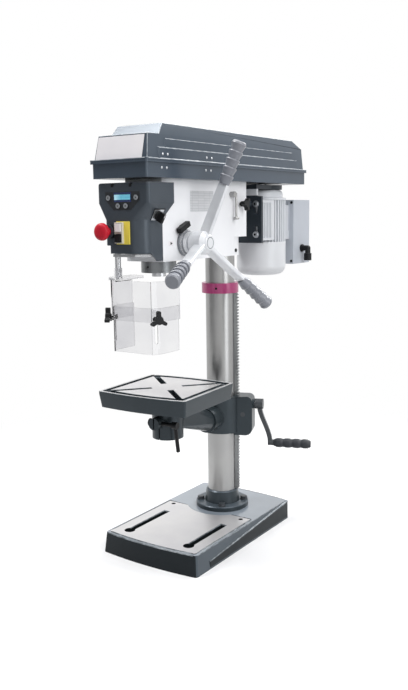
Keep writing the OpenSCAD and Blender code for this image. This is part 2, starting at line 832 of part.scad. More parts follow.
module quill() color("silver") {
    flank = tan(20);
    low = feed_z - 2 * feed_pitch;
    tail = quill_top - bearing_h - 2;
    translate([0, -throat, 0]) difference() {
        rod_z(quill_z, quill_top, quill_r);
        rod_z(quill_z - cut, quill_z + bearing_h + 2, spindle_low_r + 6);
        rod_z(quill_z, quill_top, spindle_low_r + 1);
        rod_z(tail, quill_top + cut, spindle_r + 6.5);
        translate([-quill_d / 2, 0, 0]) rotate([90, 0, 90]) linear_extrude(quill_d) difference() {
            translate([rack_flat - 2 * feed_module - 2, low]) square([quill_r, quill_top - low + cut]);
            polygon(rack_points(0, rack_flat, rack_flat - 2.25 * feed_module, feed_pitch,
                feed_pitch / 4 + feed_module * flank, feed_pitch / 4 - 1.25 * feed_module * flank,
                feed_z, low - cut, quill_top + 2 * cut));
        }
    }
}
module quill_bearings() color("lightgray") {
    tube_z(quill_z + 1, quill_z + 1 + bearing_h, spindle_low_r + 6 - fit, spindle_low_r + run, 0, -throat);
    tube_z(quill_top - bearing_h, quill_top, spindle_r + 6.5 - fit, spindle_r + run, 0, -throat);
}
module spindle() color("silver") {
    nose = quill_z - gap - nose_l;
    shoulder = quill_z + taper_l + 12;
    translate([0, -throat, 0]) difference() {
        union() {
            rod_z(nose, quill_z - gap, nose_d / 2);
            rod_z(nose, shoulder, spindle_low_r);
            rod_z(shoulder - cut, spindle_top, spindle_r);
            for (a = [0, 90]) rotate([0, 0, a])
                block([-spindle_r - key_h, -key_w / 2, quill_top + 12], [spindle_r + key_h, key_w / 2,
                    spindle_top - 3]);
        }
        translate([0, 0, nose - 0.01]) cylinder(h = taper_l, r1 = taper_d / 2,
            r2 = taper_d / 2 - taper_l * 0.025);
    }
}

// Feed

module feed_shaft() color("silver") at_feed() {
    rod_x(-head_w / 2 - spring_cap_l + 5, hub_end - 14, feed_r_shaft);
    rotate([90, 0, 90]) linear_extrude(feed_w, center = true)
        polygon(gear_points(feed_teeth, feed_root, feed_tip, 0.94 * feed_module, 0.22 * feed_module));
}
// Bar of the given length from the arm's root, tapering towards the grip; grow widens it for a socket
module arm_bar(l, grow) {
    h = feed_arm_w / 2 + grow;
    w = feed_arm_t / 2 + grow;
    c = arm_chamfer;
    shrink = (1 - feed_neck_w / feed_arm_w) * l / (arm_neck - arm_root);
    linear_extrude(l, scale = 1 - shrink) polygon([[h, c - w], [h, w - c], [h - c, w], [c - h, w],
        [-h, w - c], [-h, c - w], [c - h, -w], [h - c, -w]]);
}
module feed_hub() color("lightgray") {
    difference() {
        at_feed() rotate([0, 90, 0]) rotate_extrude() polygon([
                [0, ring_x], [hub_core_r, ring_x], [hub_core_r, hub_x + gap], [hub_disc_r, hub_x + gap],
                [hub_disc_r, hub_x + 10], [hub_disc_r - 4, hub_x + 10], [hub_disc_r - 4, hub_x + 14],
                [hub_disc_r + 2, hub_x + 15], [hub_disc_r + 2, hub_x + 44], [20, hub_end - 4.5],
                [17.5, hub_end - 3.5], [17.5, hub_end - 1.2], [16, hub_end], [0, hub_end]
            ]);
        at_feed() rod_x(ring_x - cut, hub_end - 14 + gap, feed_r_shaft + fit);
        for (k = [0:2]) along_arm(k) translate([0, 0, arm_root - gap]) arm_bar(40, fit);
    }
}
module feed_arms() color("silver") {
    for (k = [0:2]) along_arm(k) {
        translate([0, 0, arm_root]) arm_bar(arm_neck - gap - arm_root, 0);
        translate([0, 0, arm_neck - 4]) cylinder(h = feed_grip_l - 6, r = arm_tail_d / 2);
    }
}
module feed_grips() color("darkgray") {
    ribs = 5;
    r = feed_grip_d / 2;
    low = arm_neck;
    teeth = [for (i = [0:ribs - 1], p = [[3.4, 0], [0.8, 0.74], [0, 0.88], [1,
        1]]) let (t = (i + p[1]) / ribs)
        [r - p[0] - 1.6 * (1 - t), low + 3 + t * (feed_grip_l - 7)]];
    for (k = [0:2]) along_arm(k) difference() {
        rotate_extrude() polygon(concat([[0, low], [r - 6, low]], teeth,
            [[r - 1.2, feed_arm_l - 2.4], [r - 3.4, feed_arm_l], [0, feed_arm_l]]));
        translate([0, 0, low - cut]) cylinder(h = feed_grip_l - 10 + gap + cut, r = arm_tail_d / 2 + fit);
    }
}
module depth_ring() color("dimgray") at_feed() {
    r = depth_ring_d / 2;
    rotate([0, 90, 0]) rotate_extrude() polygon([
        [hub_core_r + fit, ring_x], [r, ring_x], [r, ring_x + 4], [r - 5, hub_x], [hub_core_r + fit, hub_x]
    ]);
}
module depth_lock() color("black") at_feed() rotate([lock_turn, 0, 0]) {
    face = head_w / 2;
    rod_x(face - 11, face + 4, screw_r, lock_r, 0);
    block([face + 3, lock_r - 6, -20], [face + 15, lock_r + 6, 20]);
}
module return_spring() color("gray") at_feed() {
    turns = 3;
    n = 24 * turns;
    half = 0.6;
    r0 = feed_r_shaft + gap + half;
    r1 = spring_cap_r - spring_cap_wall - gap / 2 - half;
    coil = function (i, side) let (t = i / n, r = r0 + (r1 - r0) * t + side * half)
        [r * cos(360 * turns * t), r * sin(360 * turns * t)];
    translate([-head_w / 2 - spring_cap_l + 6, 0, 0]) rotate([90, 0, 90]) linear_extrude(10)
        polygon(concat([for (i = [0:n]) coil(i, -1)], [for (i = [n:-1:0]) coil(i, 1)]));
}
module spring_cap() color("dimgray") at_feed() {
    face = -head_w / 2;
    difference() {
        rod_x(face - spring_cap_l, face, spring_cap_r);
        rod_x(face - spring_cap_l + 4, face + cut, spring_cap_r - spring_cap_wall);
    }
}

// Control cover

// Outline of the cover at a height, drawn in from the outside by inset; the right front corner is a wide curve
module cover_plan(w, rear, inset, curve) {
    h = w / 2 - inset;
    f = -panel_front + inset;
    polygon(concat([[h, rear]], [[-h, rear]], arc(-h + 6, f + 6, 6, 180, 270),
        arc(h - curve + inset, f + curve - inset, curve - inset, 270, 360)));
}
module cover_form(inset, rear_top, rear_low) {
    translate([0, 0, slope_top]) linear_extrude(panel_upper_h - inset) cover_plan(panel_w, rear_top,
        inset, 8);
    hull() {
        translate([0, 0, slope_top]) linear_extrude(0.1) cover_plan(panel_w, rear_top, inset, 8);
        translate([0, 0, slope_z]) linear_extrude(0.1) cover_plan(panel_low_w, rear_low, inset,
            panel_curve);
    }
    translate([0, 0, panel_z - (inset > 0 ? cut : 0)])
        linear_extrude(slope_z - panel_z + cut) cover_plan(panel_low_w, rear_low, inset, panel_curve);
}
module selector_place() {
    translate([selector_x, selector_y, slope_top - selector_drop]) rotate([0, slope_tilt, 0]) children();
}
module control_cover() color("darkslategray") {
    face = -panel_front;
    low_rear = -head_front;
    difference() {
        union() {
            cover_form(0, -panel_rear, low_rear);
            rod_y(face - 12, face + cut, estop_stem_r + 6, estop[0], estop[1]);
        }
        cover_form(panel_wall, -panel_rear - panel_wall, low_rear + cut);
        block([-head_w / 2 - fit, -head_front, slope_z - 20], [head_w / 2 + fit, -panel_rear + cut,
            panel_top + cut]);
        translate([panel_step_x - 60, face - cut, panel_z - 2 * cut]) cube([60, panel_front,
            panel_step_z - panel_z + 2 * cut]);
        slab_x(panel_w) polygon([[face - cut, panel_z - 2], [face - cut, panel_lip_z],
            [face + 30, panel_lip_z], [face + 52, panel_z - 2]]);
        rod_y(face - 14, face + panel_wall + cut, estop_stem_r + gap, estop[0], estop[1]);
        block([-display_w / 2 + 8, face - cut, display_z - 6], [display_w / 2 - 8,
            face + panel_wall + cut, display_z + 10]);
        for (s = [-1, 1]) block([s * notch_x - notch_w / 2, face - cut, panel_top - notch_w],
            [s * notch_x + notch_w / 2, face + panel_wall + cut, panel_top + cut]);
        for (p = display_keys) rod_y(face - cut, face + panel_wall + cut, key_d / 2 - 1.2 + gap, p[0],
            p[1]);
        for (z = [start_z, stop_z])
            block([button_x - button_w / 2 + 2 - gap, face - cut, z - 7 - gap],
                [button_x + button_w / 2 - 2 + gap, face + panel_wall + cut, z + 7 + gap]);
        selector_place() translate([0, 0, -6]) cylinder(h = 12, r = selector_r + gap);
    }
}
module display_panel() color("steelblue") {
    face = -panel_front;
    block([-display_w / 2 + 6, face - 1.6, display_z - 8], [display_w / 2 - 6, face, display_z + 12]);
    block([-display_w / 2 + 8 + gap, face - cut, display_z - 6 + gap], [display_w / 2 - 8 - gap,
        face + 9, display_z + 10 - gap]);
}
module display_key(k) {
    p = display_keys[k];
    face = -panel_front;
    rod_y(face - 3.2, face - 1.9, key_d / 2, p[0], p[1]);
    rod_y(face - 2, face + 8, key_d / 2 - 1.2, p[0], p[1]);
}
module display_key_left() color("silver") display_key(0);
module display_key_right() color("silver") display_key(1);
module display_key_down() color("silver") display_key(2);
module display_key_up() color("silver") display_key(3);
module switch_plate() color("gold") {
    face = -panel_front;
    difference() {
        union() {
            block([-switch_w / 2, face - 3, switch_z - switch_h / 2], [switch_w / 2, face,
                switch_z + switch_h / 2]);
            block([button_x - button_w / 2 - 3, face - 9, switch_z - switch_h / 2 + 2],
                [button_x + button_w / 2 + 3, face - 2, switch_z + switch_h / 2 - 2]);
        }
        for (z = [start_z, stop_z])
            block([button_x - button_w / 2 - gap, face - 10, z - 8.5 - gap],
                [button_x + button_w / 2 + gap, face + cut, z + 8.5 + gap]);
    }
}
module push_button(z, proud) {
    face = -panel_front;
    block([button_x - button_w / 2, face - proud, z - 8.5], [button_x + button_w / 2, face - 4.5, z + 8.5]);
    block([button_x - button_w / 2 + 2, face - 5, z - 7], [button_x + button_w / 2 - 2, face + 10, z + 7]);
}
module start_button() color("white") push_button(start_z, 12);
module stop_button() color("black") push_button(stop_z, 13);
module emergency_stop() color("red") {
    face = -panel_front;
    r = stop_head_d / 2;
    translate([estop[0], face, estop[1]]) rotate([90, 0, 0]) rotate_extrude() polygon(concat(
        [[0, -14], [estop_stem_r, -14], [estop_stem_r, 19], [r - 7, 20], [r - 1, 23.5]],
        [for (a = [0:10:80]) [r * cos(a), 26 + (estop_reach - 26) * sin(a)]],
        [[0, estop_reach]]));
}
module selector_knob() color("black") selector_place() {
    translate([0, 0, -12]) cylinder(h = 14, r = selector_r);
    translate([0, 0, 1.2]) cylinder(h = 5, r = 10);
    translate([-10.5, -3.4, 1.2]) cube([21, 6.8, 17]);
}

// Guard

function guard_points(inset, rear) = let (w = guard_w / 2 - inset, f = guard_face - inset * 0.6) [
    [-w, rear], [-w, -guard_front + guard_corner + inset * 0.4], [-f, -guard_front + inset],
    [f, -guard_front + inset], [w, -guard_front + guard_corner + inset * 0.4], [w, rear]
];
module guard_shell(inset, z0, h) {
    translate([0, 0, z0]) linear_extrude(h) difference() {
        polygon(guard_points(inset, -guard_rear));
        polygon(guard_points(inset + guard_t, -guard_rear + cut));
    }
}
module guard_knob_place(side) {
    translate([side * guard_mid[0], guard_mid[1], knob_z]) rotate([0, 0,
        side > 0 ? guard_turn : 180 - guard_turn])
        rotate([0, 90, 0]) children();
}
module guard_rod() color("silver") {
    plate_z0 = panel_lip_z - 8;
    rod_z(guard_top + 3, plate_z0 + 24, guard_rod_r, guard_rod[0], guard_rod[1]);
    difference() {
        block([guard_rod[0] - 5, guard_rod[1] - 9, plate_z0], [head_w / 2 - panel_wall - 4, -head_front,
            plate_z0 + 6]);
        translate([head_w / 2 - panel_wall - 4, guard_rod[1] - 9, plate_z0]) rotate([0, 0, 45])
            cube([40, 40, 20], center = true);
    }
}
module guard_bracket() color("silver") {
    x = guard_rod[0];
    y = guard_rod[1];
    difference() {
        union() {
            block([-guard_w / 2 + 4, y - 7, guard_top], [x + 14, -guard_rear - 6,
                guard_top + guard_plate_t]);
            rod_z(guard_top + guard_plate_t - cut, guard_top + guard_plate_t + 20, guard_rod_r + 2.6, x, y);
            block([-guard_w / 2 + guard_t, -guard_front + guard_corner + 6, guard_top - 6],
                [-guard_w / 2 + guard_t + 2.4, -guard_rear - 6, guard_top + cut]);
        }
        rod_z(guard_top + 2, guard_top + 40, guard_rod_r + run, x, y);
    }
}
module guard_upper() color("lightcyan", 0.5) {
    difference() {
        guard_shell(0, guard_top - guard_upper_h, guard_upper_h);
        for (side = [-1, 1]) guard_knob_place(side) translate([0, 0, -8]) cylinder(h = 16,
            r = knob_screw_r + run);
    }
}
module guard_lower() color("lightcyan", 0.5) {
    difference() {
        guard_shell(guard_t + gap, guard_z, guard_lower_h);
        for (side = [-1, 1]) guard_knob_place(side) {
            translate([0, -knob_screw_r - gap, -14]) cube([guard_slot_l, 2 * (knob_screw_r + gap), 24]);
            for (x = [0, guard_slot_l]) translate([x, 0, -14]) cylinder(h = 24, r = knob_screw_r + gap);
        }
    }
}
module guard_knob(side) {
    guard_knob_place(side) {
        translate([0, 0, -11]) cylinder(h = 16, r = knob_screw_r);
        translate([0, 0, -12]) cylinder(h = 4, r = 5.6);
        translate([0, 0, 1.5 + gap]) cylinder(h = 5, r = 6);
        translate([0, 0, 5]) linear_extrude(11) {
            circle(9.5);
            for (k = [0:2]) rotate(180 + 120 * k) {
                translate([16, 0]) circle(4);
                translate([0, -4]) square([16, 8]);
            }
        }
    }
}
module guard_knob_left() color("black") guard_knob(-1);
module guard_knob_right() color("black") guard_knob(1);

// Belt cover

module rounded_box(w, front, rear, r) {
    polygon(concat(arc(w / 2 - r, rear - r, r, 0, 90), arc(-w / 2 + r, rear - r, r, 90, 180),
        arc(-w / 2 + r, -front + r, r, 180, 270), arc(w / 2 - r, -front + r, r, 270, 360)));
}
module hinge_knuckles(parts) {
    for (y = hinge_ys, k = parts)
        rod_y(y + (k - 1.5) * hinge_l / 3 + gap / 2, y + (k - 0.5) * hinge_l / 3 - gap / 2, hinge_r,
            hinge_x, hinge_z);
}
module hinge_bore() {
    for (y = hinge_ys) rod_y(y - hinge_l, y + hinge_l, hinge_pin_r + run, hinge_x, hinge_z);
}
module belt_tray() color("dimgray") {
    w = cover_w - 2 * lip_w;
    f = cover_front - lip_w;
    b = cover_rear - lip_w;
    z = head_top;
    difference() {
        union() {
            translate([0, 0, z]) linear_extrude(tray_h) rounded_box(w, f, b, 5);
            translate([0, 0, seam - 4]) linear_extrude(4) rounded_box(cover_w, cover_front, cover_rear, 6);
            hinge_knuckles([0, 2]);
            for (y = hinge_ys, k = [0, 2])
                block([hinge_x, y + (k - 1.5) * hinge_l / 3 + gap / 2, hinge_z - hinge_r],
                    [-cover_w / 2 + cut, y + (k - 0.5) * hinge_l / 3 - gap / 2, hinge_z - gap]);
        }
        translate([0, 0, z + cover_wall]) linear_extrude(tray_h)
            rounded_box(w - 2 * cover_wall, f - cover_wall, b - cover_wall, 3);
        rod_z(z - cut, z + cover_wall + cut, sleeve_r + 6, 0, -throat);
        for (dy = [0, -motor_slack]) rod_z(z - cut, z + cover_wall + cut, shaft_r + 12, 0, motor_y + dy);
        hinge_bore();
        for (y = hinge_ys) block([hinge_x - hinge_r - cut, y - hinge_l / 6 - gap / 2,
            hinge_z - hinge_r - gap],
            [-cover_w / 2 + gap, y + hinge_l / 6 + gap / 2, hinge_z + hinge_r + gap]);
    }
}

// Lid outline from the side and from the front; inset gives its inner wall
module lid_body(inset) {
    f = -cover_front + lip_w + 5 + inset;
    b = cover_rear - lip_w - 6 - inset;
    z = lid_z + (inset > 0 ? -cut : cut);
    top = lid_top - inset;
    half = cover_w / 2 - lip_w - 2.4 - inset;
    intersection() {
        slab_x(cover_w) polygon([[f, z], [f + 10, top - 24], [f + 48 - inset, top - 24], [f + 67, top],
            [b - 46, top], [b - 1, top - 20], [b, z]]);
        rotate([90, 0, 0]) linear_extrude(3 * cover_front, center = true) polygon([
            [-half, z], [half, z], [half - 5.4, top - 24], [half - 11, top], [-half + 11, top],
                [-half + 5.4, top - 24]]);
    }
}
module lid_band(z1, half, front, rear) {
    c = band_corner;
    translate([0, 0, lid_z]) linear_extrude(z1 - lid_z) polygon([[-half, c - front], [c - half, -front],
        [half - c, -front], [half, c - front], [half, rear - c], [half - c, rear], [c - half, rear],
        [-half, rear - c]]);
}
module belt_lid() color("slategray") {
    difference() {
        union() {
            lid_body(0);
            translate([0, 0, lid_z]) linear_extrude(4) rounded_box(cover_w, cover_front, cover_rear, 6);
            lid_band(seam + 27, cover_w / 2 - lip_w, cover_front - 46, cover_rear - 48);
            lid_band(seam + 46.5, cover_w / 2 - lip_w - 3.6, cover_front - 69, cover_rear - 69);
            hinge_knuckles([1]);
            for (y = hinge_ys) block([hinge_x, y - hinge_l / 6 + gap / 2, hinge_z + gap],
                [-cover_w / 2 + cut, y + hinge_l / 6 - gap / 2, hinge_z + hinge_r]);
        }
        lid_body(cover_wall);
        hinge_bore();
        for (y = hinge_ys, k = [-1, 1]) block([hinge_x - hinge_r - cut,
            y + k * hinge_l / 3 - hinge_l / 6 - gap / 2, hinge_z - hinge_r - gap],
            [-cover_w / 2 + gap, y + k * hinge_l / 3 + hinge_l / 6 + gap / 2, hinge_z + hinge_r + gap]);
    }
}
module hinge_pins() color("silver") {
    for (y = hinge_ys) rod_y(y - hinge_l / 2, y + hinge_l / 2, hinge_pin_r, hinge_x, hinge_z);
}

// Drive

// Grooved step: rim radius r from height 0 to step_h
function step_points(r, z) = let (side = 1.6, deep = belt_t + 1.4) [
    [r, z], [r, z + side], [r - deep, z + side + 2.2], [r - deep, z + step_h - side - 2.2],
    [r, z + step_h - side], [r, z + step_h]
];
module pulley(radii, bore) {
    difference() {
        rotate_extrude() polygon(concat([[0, pulley_z]],
            [for (i = [0:2]) each step_points(radii[i], pulley_z + i * step_h)], [[0,
                pulley_z + 3 * step_h]]));
        rod_z(pulley_z - cut, pulley_z + 3 * step_h + cut, bore);
    }
}
module drive_belt() color("black") {
    outer = pulley_r - 0.6;
    translate([0, 0, belt_z - belt_w / 2]) linear_extrude(belt_w) difference() {
        union() {
            for (y = [-throat, motor_y]) translate([0, y]) circle(outer);
            translate([-outer, -throat]) square([2 * outer, throat + motor_y]);
        }
        for (y = [-throat, motor_y]) translate([0, y]) circle(outer - belt_t);
        translate([-outer + belt_t, -throat]) square([2 * (outer - belt_t), throat + motor_y]);
    }
}
module spindle_pulley() color("lightgray") translate([0, -throat, 0]) {
    difference() {
        union() {
            pulley([pulley_r + pulley_step, pulley_r, pulley_r - pulley_step], spindle_r + gap);
            rod_z(hub_top_z + gap, pulley_z + cut, sleeve_r);
        }
        rod_z(hub_top_z, pulley_z + 4 * step_h, spindle_r + gap);
        for (a = [0, 90]) rotate([0, 0, a]) block([-spindle_r - key_h - gap, -key_w / 2 - gap, hub_top_z],
            [spindle_r + key_h + gap, key_w / 2 + gap, pulley_z + 4 * step_h]);
    }
}
module motor_pulley() color("lightgray") translate([0, motor_y, 0]) {
    pulley([pulley_r - pulley_step, pulley_r, pulley_r + pulley_step], shaft_r + fit);
}
module motor_plate() color("black") {
    slot_r = 5;
    difference() {
        union() {
            block([-plate_w / 2, plate_y, plate_z], [plate_w / 2, plate_y + plate_t, plate_z + plate_h]);
            block([-leaf_r + 8, plate_y, plate_z + plate_h - cut],
                [leaf_r - 8, plate_y + plate_t, leaf_z + leaf_t]);
            translate([0, 0, leaf_z]) linear_extrude(leaf_t) {
                translate([0, motor_y]) circle(leaf_r);
                translate([-leaf_r + 8, plate_y]) square([2 * leaf_r - 16, motor_y - plate_y]);
            }
        }
        rod_z(leaf_z - cut, leaf_z + leaf_t + cut, shaft_r + 4, 0, motor_y);
        for (s = [-1, 1], z = [28, plate_h - 28])
            block([s * 46 - slot_r, plate_y - cut, plate_z + z - 14], [s * 46 + slot_r,
                plate_y + plate_t + cut, plate_z + z + 14]);
    }
    for (s = [-1, 1]) difference() {
        rod_y(lever_y - 20, plate_y + cut, guide_r, s * guide_x, guide_z);
        if (s > 0) block([guide_x - guide_r, lever_y - finger_r - 0.7, guide_z],
            [guide_x + guide_r, lever_y + finger_r + 0.7, guide_z + guide_r + cut]);
    }
}
module motor_housing() color("gainsboro") {
    fin = 360 / fin_count;
    shield_r = motor_r - 8;
    flange_r = motor_r + 1;
    difference() {
        union() {
            translate([0, motor_y, fin_z]) linear_extrude(fin_h) polygon([for (i = [0:fin_count - 1],
                p = [[motor_core, -0.3], [motor_r, -0.2], [motor_r, 0.2], [motor_core, 0.3]])
                p[0] * [cos(fin * (i + p[1])), sin(fin * (i + p[1]))]]);
            translate([0, motor_y, 0]) rotate_extrude() polygon(concat([[0, shield_z - cut], [flange_r,
                shield_z - cut],
                [flange_r, shield_z + 4], [shield_r, shield_z + 6]], arc(shield_r - 12, shield_z + 14,
                    12, 0, 90),
                [[0, shield_z + motor_cap]]));
            block([-plate_w / 2 + 4, plate_y + plate_t, plate_z + 6], [plate_w / 2 - 4,
                motor_y - motor_core / 2, plate_z + plate_h - 10]);
            block([-box_w / 2 + 14, motor_y + motor_core / 2, fin_z + 4], [box_w / 2 - 14, box_y,
                shield_z - 14]);
        }
        rod_z(fin_z - cut, shield_z - 6, rotor_r + 4, 0, motor_y);
        rod_z(fin_z - cut, shield_z + 30, shaft_r + run, 0, motor_y);
        for (y = [plate_y + plate_t + 5 : foot_groove : motor_y - motor_core / 2 - 16], s = [0, 1])
            mirror([s, 0, 0]) block([plate_w / 2 - 9, y, plate_z + 12],
                [plate_w / 2, y + foot_groove / 2, plate_z + plate_h - 16]);
    }
}
module fan_cover() color("gainsboro") translate([0, motor_y, 0]) {
    r = motor_r;
    wall = 2;
    difference() {
        rotate_extrude() polygon(concat([[0, motor_z]], arc(r - 24, motor_z + 24, 24, -90, 0), [[r,
            fin_z], [0, fin_z]]));
        rotate_extrude() polygon(concat([[0, motor_z + wall]], arc(r - 24, motor_z + 24, 24 - wall, -90,
            0), [[r - wall, fin_z + cut], [0, fin_z + cut]]));
        for (k = [0:11], ring = [18, 30]) rotate([0, 0, 30 * k])
            block([ring, -2, motor_z - cut], [ring + 8, 2, motor_z + wall + cut]);
    }
}
module motor_rotor() color("gray") translate([0, motor_y, 0]) {
    rod_z(fin_z - 50, pulley_z + 3 * step_h, shaft_r);
    rod_z(fin_z + 6, shield_z - 12, rotor_r);
    rod_z(fin_z - 48, fin_z - 42, motor_r - 16);
    for (k = [0:5]) rotate([0, 0, 60 * k]) block([shaft_r - 3, -1, fin_z - 43], [motor_r - 18, 1,
        fin_z - 18]);
}
module terminal_box() color("lightgray") {
    wall = 3;
    difference() {
        block([-box_w / 2, box_y, box_z], [box_w / 2, box_y + box_d, box_z + box_h]);
        block([-box_w / 2 + wall, box_y + wall, box_z + wall], [box_w / 2 - wall, box_y + box_d - wall,
            box_z + box_h - wall]);
        block([-24, box_y - cut, fin_z + 16], [24, box_y + wall + cut, shield_z - 30]);
        rod_x(box_w / 2 - wall - cut, box_w / 2 + cut, 6, gland_y, gland_z);
    }
}
module cable_gland() color("black") {
    x = box_w / 2;
    bend = x + 20;
    difference() {
        union() {
            rod_x(x - 6, x + cut, 6 - fit, gland_y, gland_z);
            rod_x(x, x + 5, 10.5, gland_y, gland_z);
            rod_x(x, bend, 7.5, gland_y, gland_z);
            translate([bend, gland_y, gland_z]) sphere(r = 7.5);
            rod_z(gland_z - 16, gland_z, 7.5, bend, gland_y);
            rod_z(gland_z - 34, gland_z - 14, 10.5, bend, gland_y);
        }
        rod_z(gland_z - 36, gland_z - 8, 4, bend, gland_y);
    }
}
module tension_lever() color("gray") {
    face = head_w / 2;
    tip = lever_z - finger_l;
    rod_x(guide_x - 6, face + 10, lever_r, lever_y, lever_z);
    rod_x(guide_x - 4, guide_x + 4, finger_r, lever_y, tip);
    block([guide_x - 4, lever_y - 2, tip], [guide_x + 4, lever_y + 2, lever_z]);
    rod_x(face + 1, face + 13, 7, lever_y, lever_z);
    rod_y(lever_y, lever_y + 9, 2.6, face + 10, lever_z + 1);
    rod_z(lever_z - 54, lever_z + 3.6, 2.6, face + 10, lever_y + 9);
    translate([face + 10, lever_y + 9, lever_z - 60]) rotate_extrude() polygon(concat([[0, 0]],
        arc(4, 3.5, 3.5, -90, 90), [[0, 7]]));
}
module lock_knob() color("black") {
    face = head_w / 2;
    rod_x(guide_x + guide_r + gap, face + 9, 4, lock_y, guide_z);
    rod_x(face + 2, face + 12, 6, lock_y, guide_z);
    translate([face + 11, lock_y, guide_z]) rotate([0, 90, 0]) linear_extrude(11)
        for (k = [0:2]) rotate(120 * k + 20) {
            circle(8);
            translate([12, 0]) circle(4.5);
            translate([0, -4.5]) square([12, 9]);
        }
}

base();
column_foot();
foot_bolts();
column();
column_ring();
column_rack();
table_bracket();
lift_pinion();
crank_shaft();
crank_arm();
crank_grip();
bracket_clamp();
table_arm();
tilt_bolt();
work_table();
table_clamp();
head_casting();
quill_ring();
quill();
quill_bearings();
spindle();
feed_shaft();
feed_hub();
feed_arms();
feed_grips();
depth_ring();
depth_lock();
return_spring();
spring_cap();
control_cover();
display_panel();
display_key_left();
display_key_right();
display_key_down();
display_key_up();
switch_plate();
start_button();
stop_button();
emergency_stop();
selector_knob();
guard_rod();
guard_bracket();
guard_upper();
guard_lower();
guard_knob_left();
guard_knob_right();
belt_tray();
belt_lid();
hinge_pins();
drive_belt();
spindle_pulley();
motor_pulley();
motor_plate();
motor_housing();
fan_cover();
motor_rotor();
terminal_box();
cable_gland();
tension_lever();
lock_knob();
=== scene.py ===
"""Benchtop drill press: finishes, softened edges, small trim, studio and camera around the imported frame."""
import json
import math

import bmesh
import bpy
from mathutils import Matrix, Vector


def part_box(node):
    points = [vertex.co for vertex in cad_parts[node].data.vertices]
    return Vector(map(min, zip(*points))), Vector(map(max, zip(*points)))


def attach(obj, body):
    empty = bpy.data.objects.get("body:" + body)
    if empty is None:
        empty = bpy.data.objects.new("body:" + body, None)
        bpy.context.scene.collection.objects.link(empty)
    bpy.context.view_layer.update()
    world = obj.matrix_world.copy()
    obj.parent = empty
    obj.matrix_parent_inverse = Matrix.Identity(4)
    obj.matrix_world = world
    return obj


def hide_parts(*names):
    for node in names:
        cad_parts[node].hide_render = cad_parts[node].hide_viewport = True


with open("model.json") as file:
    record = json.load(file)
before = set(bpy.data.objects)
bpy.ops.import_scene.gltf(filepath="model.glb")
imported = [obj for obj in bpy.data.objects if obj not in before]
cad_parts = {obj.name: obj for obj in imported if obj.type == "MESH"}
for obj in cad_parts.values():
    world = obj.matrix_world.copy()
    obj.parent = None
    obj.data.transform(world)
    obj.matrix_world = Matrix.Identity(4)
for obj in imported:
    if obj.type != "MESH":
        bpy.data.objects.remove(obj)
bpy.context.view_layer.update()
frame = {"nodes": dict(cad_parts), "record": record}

MM = 0.001
scene = bpy.context.scene
BODY_OF = {node: body for body, nodes in frame["record"]["behaviour"]["bodies"].items() for node in nodes}


def colour(hex_code):
    """Linear colour from a screen colour such as 3A3D3F."""
    parts = [int(hex_code[i:i + 2], 16) / 255 for i in (0, 2, 4)]
    return [c / 12.92 if c <= 0.04045 else ((c + 0.055) / 1.055) ** 2.4 for c in parts] + [1.0]


def box_of(node):
    """Low corner, high corner and middle of a CAD node's box in millimetres."""
    low, high = (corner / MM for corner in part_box(node))
    return low, high, (low + high) / 2


def rectangle(low, high):
    """Corners of a rectangle in a plane, counter-clockwise from its low corner."""
    return [low, (high[0], low[1]), high, (low[0], high[1])]


# Shader groups that several finishes share

VECTOR, FLOAT, COLOUR = "NodeSocketVector", "NodeSocketFloat", "NodeSocketColor"
# Places of the sockets of a Mix node that blends colours
MIX_A, MIX_B, MIX_OUT = 6, 7, 2
FINISH = {}


def shader_group(name, inputs, outputs):
    """A node group with named sockets, and its input and output nodes."""
    tree = bpy.data.node_groups.new(name, "ShaderNodeTree")
    for label, kind, value in inputs:
        socket = tree.interface.new_socket(label, in_out="INPUT", socket_type=kind)
        if value is not None:
            socket.default_value = value
    for label, kind in outputs:
        tree.interface.new_socket(label, in_out="OUTPUT", socket_type=kind)
    return tree, tree.nodes.new("NodeGroupInput"), tree.nodes.new("NodeGroupOutput")


def add_node(tree, kind, **settings):
    """A new node with some of its settings."""
    made = tree.nodes.new(kind)
    for key, value in settings.items():
        setattr(made, key, value)
    return made


def set_sockets(made, **values):
    """Sets a node's inputs; an underscore stands for a space in a socket's name."""
    for label, value in values.items():
        made.inputs[label.replace("_", " ")].default_value = value


def wire(tree, *pairs):
    """Links each pair's first socket to its second."""
    for start, end in pairs:
        tree.links.new(start, end)


def make_mottle():
    """Slow drift between two colours, as in sprayed enamel or moulded plastic."""
    tree, given, out = shader_group(
        "mottle",
        [("Vector", VECTOR, None), ("Scale", FLOAT, 18.0), ("Colour", COLOUR, None), ("Shade", COLOUR, None)],
        [("Colour", COLOUR)])
    noise = add_node(tree, "ShaderNodeTexNoise")
    set_sockets(noise, Detail=4)
    spread = add_node(tree, "ShaderNodeMapRange")
    set_sockets(spread, From_Min=0.34, From_Max=0.66)
    blend = add_node(tree, "ShaderNodeMix", data_type="RGBA")
    wire(tree, (given.outputs["Vector"], noise.inputs["Vector"]),
         (given.outputs["Scale"], noise.inputs["Scale"]), (noise.outputs["Fac"], spread.inputs["Value"]),
         (spread.outputs["Result"], blend.inputs["Factor"]), (given.outputs["Colour"], blend.inputs[MIX_A]),
         (given.outputs["Shade"], blend.inputs[MIX_B]), (blend.outputs[MIX_OUT], out.inputs["Colour"]))
    return tree


def add_swing(tree, start, given, amount, out):
    """Roughness that swings about its given value as the noise at start moves about its middle."""
    centre = add_node(tree, "ShaderNodeMath", operation="SUBTRACT")
    centre.inputs[1].default_value = 0.5
    swing = add_node(tree, "ShaderNodeMath", operation="MULTIPLY_ADD")
    wire(tree, (start, centre.inputs[0]), (centre.outputs["Value"], swing.inputs[0]),
         (given.outputs[amount], swing.inputs[1]), (given.outputs["Roughness"], swing.inputs[2]),
         (swing.outputs["Value"], out.inputs["Roughness"]))


